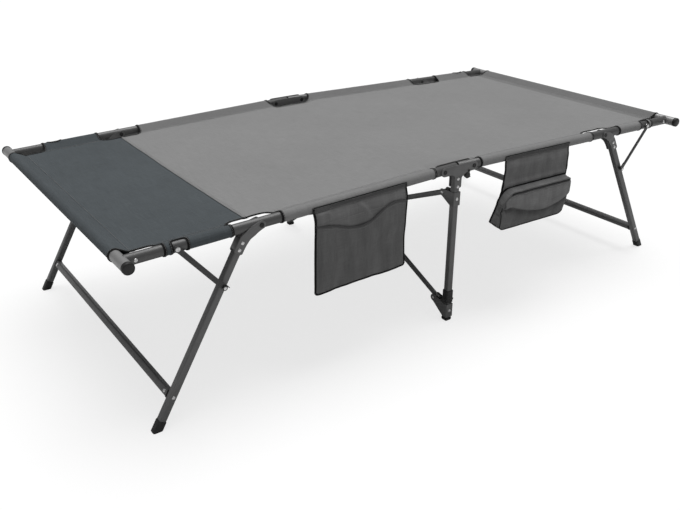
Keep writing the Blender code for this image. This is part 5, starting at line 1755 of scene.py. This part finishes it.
class COT_OT_zip_pouch(bpy.types.Operator):
    """Makes the pouch pocket: band, panel, gusset, front, drooping flap, zip, piping and binding"""

    bl_idname = "cot.zip_pouch"
    bl_label = "Zip pouch"

    def execute(self, context):
        self.panel()
        self.bag()
        return {"FINISHED"}

    def panel(self):
        width = POUCH_WIDTH

        def scaled(u, v):
            return pouch_back(u / width, v)

        back = shaped_grid(even(0.0, 1.0, 1 / 72), even(0.0, POUCH_LENGTH, 0.0035))
        keep_cut(back, by(width, 1.0))
        sheet, area = sewn(back, pouch_back, "pouch_panel", "pocket_fabric", None, "zip_pocket", amount=0.0009)
        sides = [(0.0, v, 1.0, 0.0) for v in even(0.0, POUCH_LENGTH, 0.003)]
        sides += [(u, POUCH_LENGTH, 0.0, -1.0) for u in even(0.0, width, 0.004)[1:-1]]
        sides += [(width, v, -1.0, 0.0) for v in even(POUCH_LENGTH, 0.0, 0.003)]
        tape = binding_along(sides, scaled, 0.0055, 0.0009, 0.0003)
        band, edge_top = pocket_band(scaled, 0.0, width, 0.0128)
        bound = piece(together(tape, edge_top), "pouch_panel_binding", "binding", None, slot="pocket_fabric")
        band = piece(band, "pouch_band", "band_tape", None)
        rows = [stitch_row([(u, v) for u in even(0.0, width, 0.006)], scaled, 0.0019) for v in (0.0018, 0.0112)]
        rows.append(stitch_row([(u, 0.095) for u in even(0.004, width - 0.004, 0.006)], scaled, 0.0008))
        thread = piece(together(*rows), "pouch_panel_stitches", "dark_thread", None, slot="pocket_fabric")
        trims = [bound, band, thread]
        swinging([sheet, *trims], POUCH_X, -0.0004)
        flat = (width, POUCH_LENGTH)
        cut_area(area, flat)

    def bag(self):
        body = "zip_pocket"
        rim = pouch_rim()
        sheets = []
        for word, look, columns, rows, surface, uv, facing, flat, held, on in (
            (
                "front", "pocket_front", even(0.0, 1.0, 1 / 72), even(0.0, 1.0, 1 / 36), pouch_face,
                by(0.27, 0.125), -Y, (0.285, 0.125), "stretched", "pouch_gusset",
            ),
            (
                "gusset", "pocket_fabric", list(range(len(rim))), even(0.0, 1.0, 1 / 10),
                lambda index, depth: (pouch_wall(rim[round(index)], depth), Z),
                by(0.0045, 0.034), Z, (0.50, 0.050), "stretched", "pouch_panel",
            ),
            (
                "floor", "pocket_fabric", even(0.0, 1.0, 1 / 60), even(0.0, 1.0, 1 / 8),
                lambda t, depth: (pouch_floor(t, depth), -Z),
                by(0.26, 0.03), -Z, (0.28, 0.052), "stretched", "pouch_gusset",
            ),
            (
                "flap", "pocket_fabric", even(0.012, 0.988, 1 / 72), even(0.0, 1.0, 1 / 30), pouch_flap,
                by(0.27, 0.07), -Y, (0.275, 0.080), "hung", "pouch_front",
            ),
        ):
            bm = shaped_grid(columns, rows)
            keep_cut(bm, uv)
            amount = 0.0009 if word == "flap" else 0.0008
            obj, area = sewn(bm, surface, f"pouch_{word}", look, body, facing=facing, amount=amount)
            sheets.append((obj, flat, held, on, area))

        piping = piece(together(*self.piping(rim)), "pouch_piping", "binding", body, slot="pocket_fabric")
        tape = piece(self.zip_tape(), "pouch_zip_tape", "binding", body, slot="pocket_fabric")
        teeth = piece(self.zip_coil(), "pouch_zip_coil", "black_plastic", body)
        rows = [
            stitch_row([(t, q) for t in even(start, end, 0.02)], surface, *size)
            for start, end, q, surface, size in (
                (0.10, 0.94, 0.03, lambda t, q: (zip_place(t, -0.0050), ZIP_OUT), (0.0006,)),
                (0.06, 0.96, 0.05, pouch_flap, (0.0008, 0.0012)),
            )
        ]
        thread = piece(together(*rows), "pouch_stitches", "dark_thread", body, slot="pocket_fabric")
        for (obj, flat, held, on, area), trims in zip(sheets, ([piping], (), (), [tape, teeth, thread])):
            cut_area(area, flat)
            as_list(trims)

    def piping(self, rim):
        """Cords round the pouch's back, down its front corners and along its foot."""
        across = even(0.0, 1.0, 1 / 50)
        yield self.cord([pouch_wall(p, 0.0) + self.proud(p) for p in rim], 0.0027)
        for t, top in ((0.0, 0.12), (1.0, 0.10)):
            yield self.cord([pouch_face(t, w)[0] for w in even(1.0, top, 1 / 30)], 0.0014)
        yield self.cord([pouch_face(t, 1.0)[0] for t in across], 0.0016)
        yield self.cord([pouch_wall((t, 1.0), 0.0) for t in across], 0.0016)

    def proud(self, place):
        """How far the piping stands proud of the pouch's outline at a place of it."""
        t, w = place
        if w <= 0.0:
            return Vector((0, -0.0008, 0.0016))
        return Vector((-0.0014 if t < 0.5 else 0.0014, -0.0008, 0))

    def cord(self, places, radius, around=10):
        """A round cord along a line of places."""
        def spot_at(i, j, _):
            ahead = (places[min(i + 1, len(places) - 1)] - places[max(i - 1, 0)]).normalized()
            side = ahead.cross(Y if abs(ahead.y) < 0.9 else Z).normalized()
            turn = 2 * math.pi * j / around
            return places[i] + (side * math.cos(turn) + ahead.cross(side) * math.sin(turn)) * radius

        bm = wrapped(len(places), [(j, 0) for j in range(around + 1)], spot_at)
        bmesh.ops.remove_doubles(bm, verts=bm.verts, dist=1e-7)
        bmesh.ops.holes_fill(bm, edges=bm.edges[:], sides=around + 2)
        bmesh.ops.recalc_face_normals(bm, faces=bm.faces)
        return bm

    def zip_tape(self):
        stations = even(0.075, 0.955, 1 / 90)
        section = ((-0.0024, 0.0), (-0.0010, 0.0006), (0.0, 0.0010), (0.0010, 0.0006), (0.0018, 0.0))

        def spot_at(index, back, rise):
            return zip_place(stations[index], back) + ZIP_OUT * rise

        return wrapped(len(stations), section, spot_at)

    def zip_coil(self):
        coil = bmesh.new()
        tooth = Matrix.Rotation(-0.7, 4, "X") @ Matrix.Diagonal((0.0011, 0.0030, 0.0009, 1))
        for t in even(0.078, 0.952, 0.0075):
            at = Matrix.Translation(zip_place(t) + ZIP_OUT * 0.0014)
            bmesh.ops.create_cube(coil, size=1.0, matrix=at @ tooth)
        return coil


class COT_PT_panel(bpy.types.Panel):
    """Sizes, colours and pieces of the camp cot"""

    bl_idname = "COT_PT_panel"
    bl_label = "Camp cot"
    bl_space_type = "VIEW_3D"
    bl_region_type = "UI"
    bl_category = "Camp cot"

    def draw(self, context):
        for group in (context.scene.cot_frame, context.scene.cot_cloth, context.scene.cot_stage):
            box = self.layout.box()
            for name in group.bl_rna.properties.keys():
                if name not in ("rna_type", "name"):
                    box.prop(group, name)
        for operator in OPERATORS:
            self.layout.operator(operator.bl_idname)


OPERATORS = (
    COT_OT_stage, COT_OT_half_frames, COT_OT_middle_frame, COT_OT_diagonals, COT_OT_leg_frames, COT_OT_props,
    COT_OT_bed, COT_OT_organiser, COT_OT_zip_pouch,
)
GROUPS = (("cot_frame", CotFrameFinish), ("cot_cloth", CotClothFinish), ("cot_stage", CotStageLook))


def register():
    for name, group in GROUPS:
        bpy.utils.register_class(group)
        setattr(bpy.types.Scene, name, PointerProperty(type=group))
    for made in (*OPERATORS, COT_PT_panel):
        bpy.utils.register_class(made)


def unregister():
    for made in reversed((*OPERATORS, COT_PT_panel)):
        bpy.utils.unregister_class(made)
    for name, group in GROUPS:
        delattr(bpy.types.Scene, name)
        bpy.utils.unregister_class(group)


def main():
    register()
    bpy.ops.cot.stage()
    bpy.ops.cot.half_frames()
    bpy.ops.cot.middle_frame()
    bpy.ops.cot.diagonals()
    bpy.ops.cot.leg_frames()
    bpy.ops.cot.props()
    bpy.ops.cot.bed()
    bpy.ops.cot.organiser()
    bpy.ops.cot.zip_pouch()


if __name__ == "__main__":
    main()
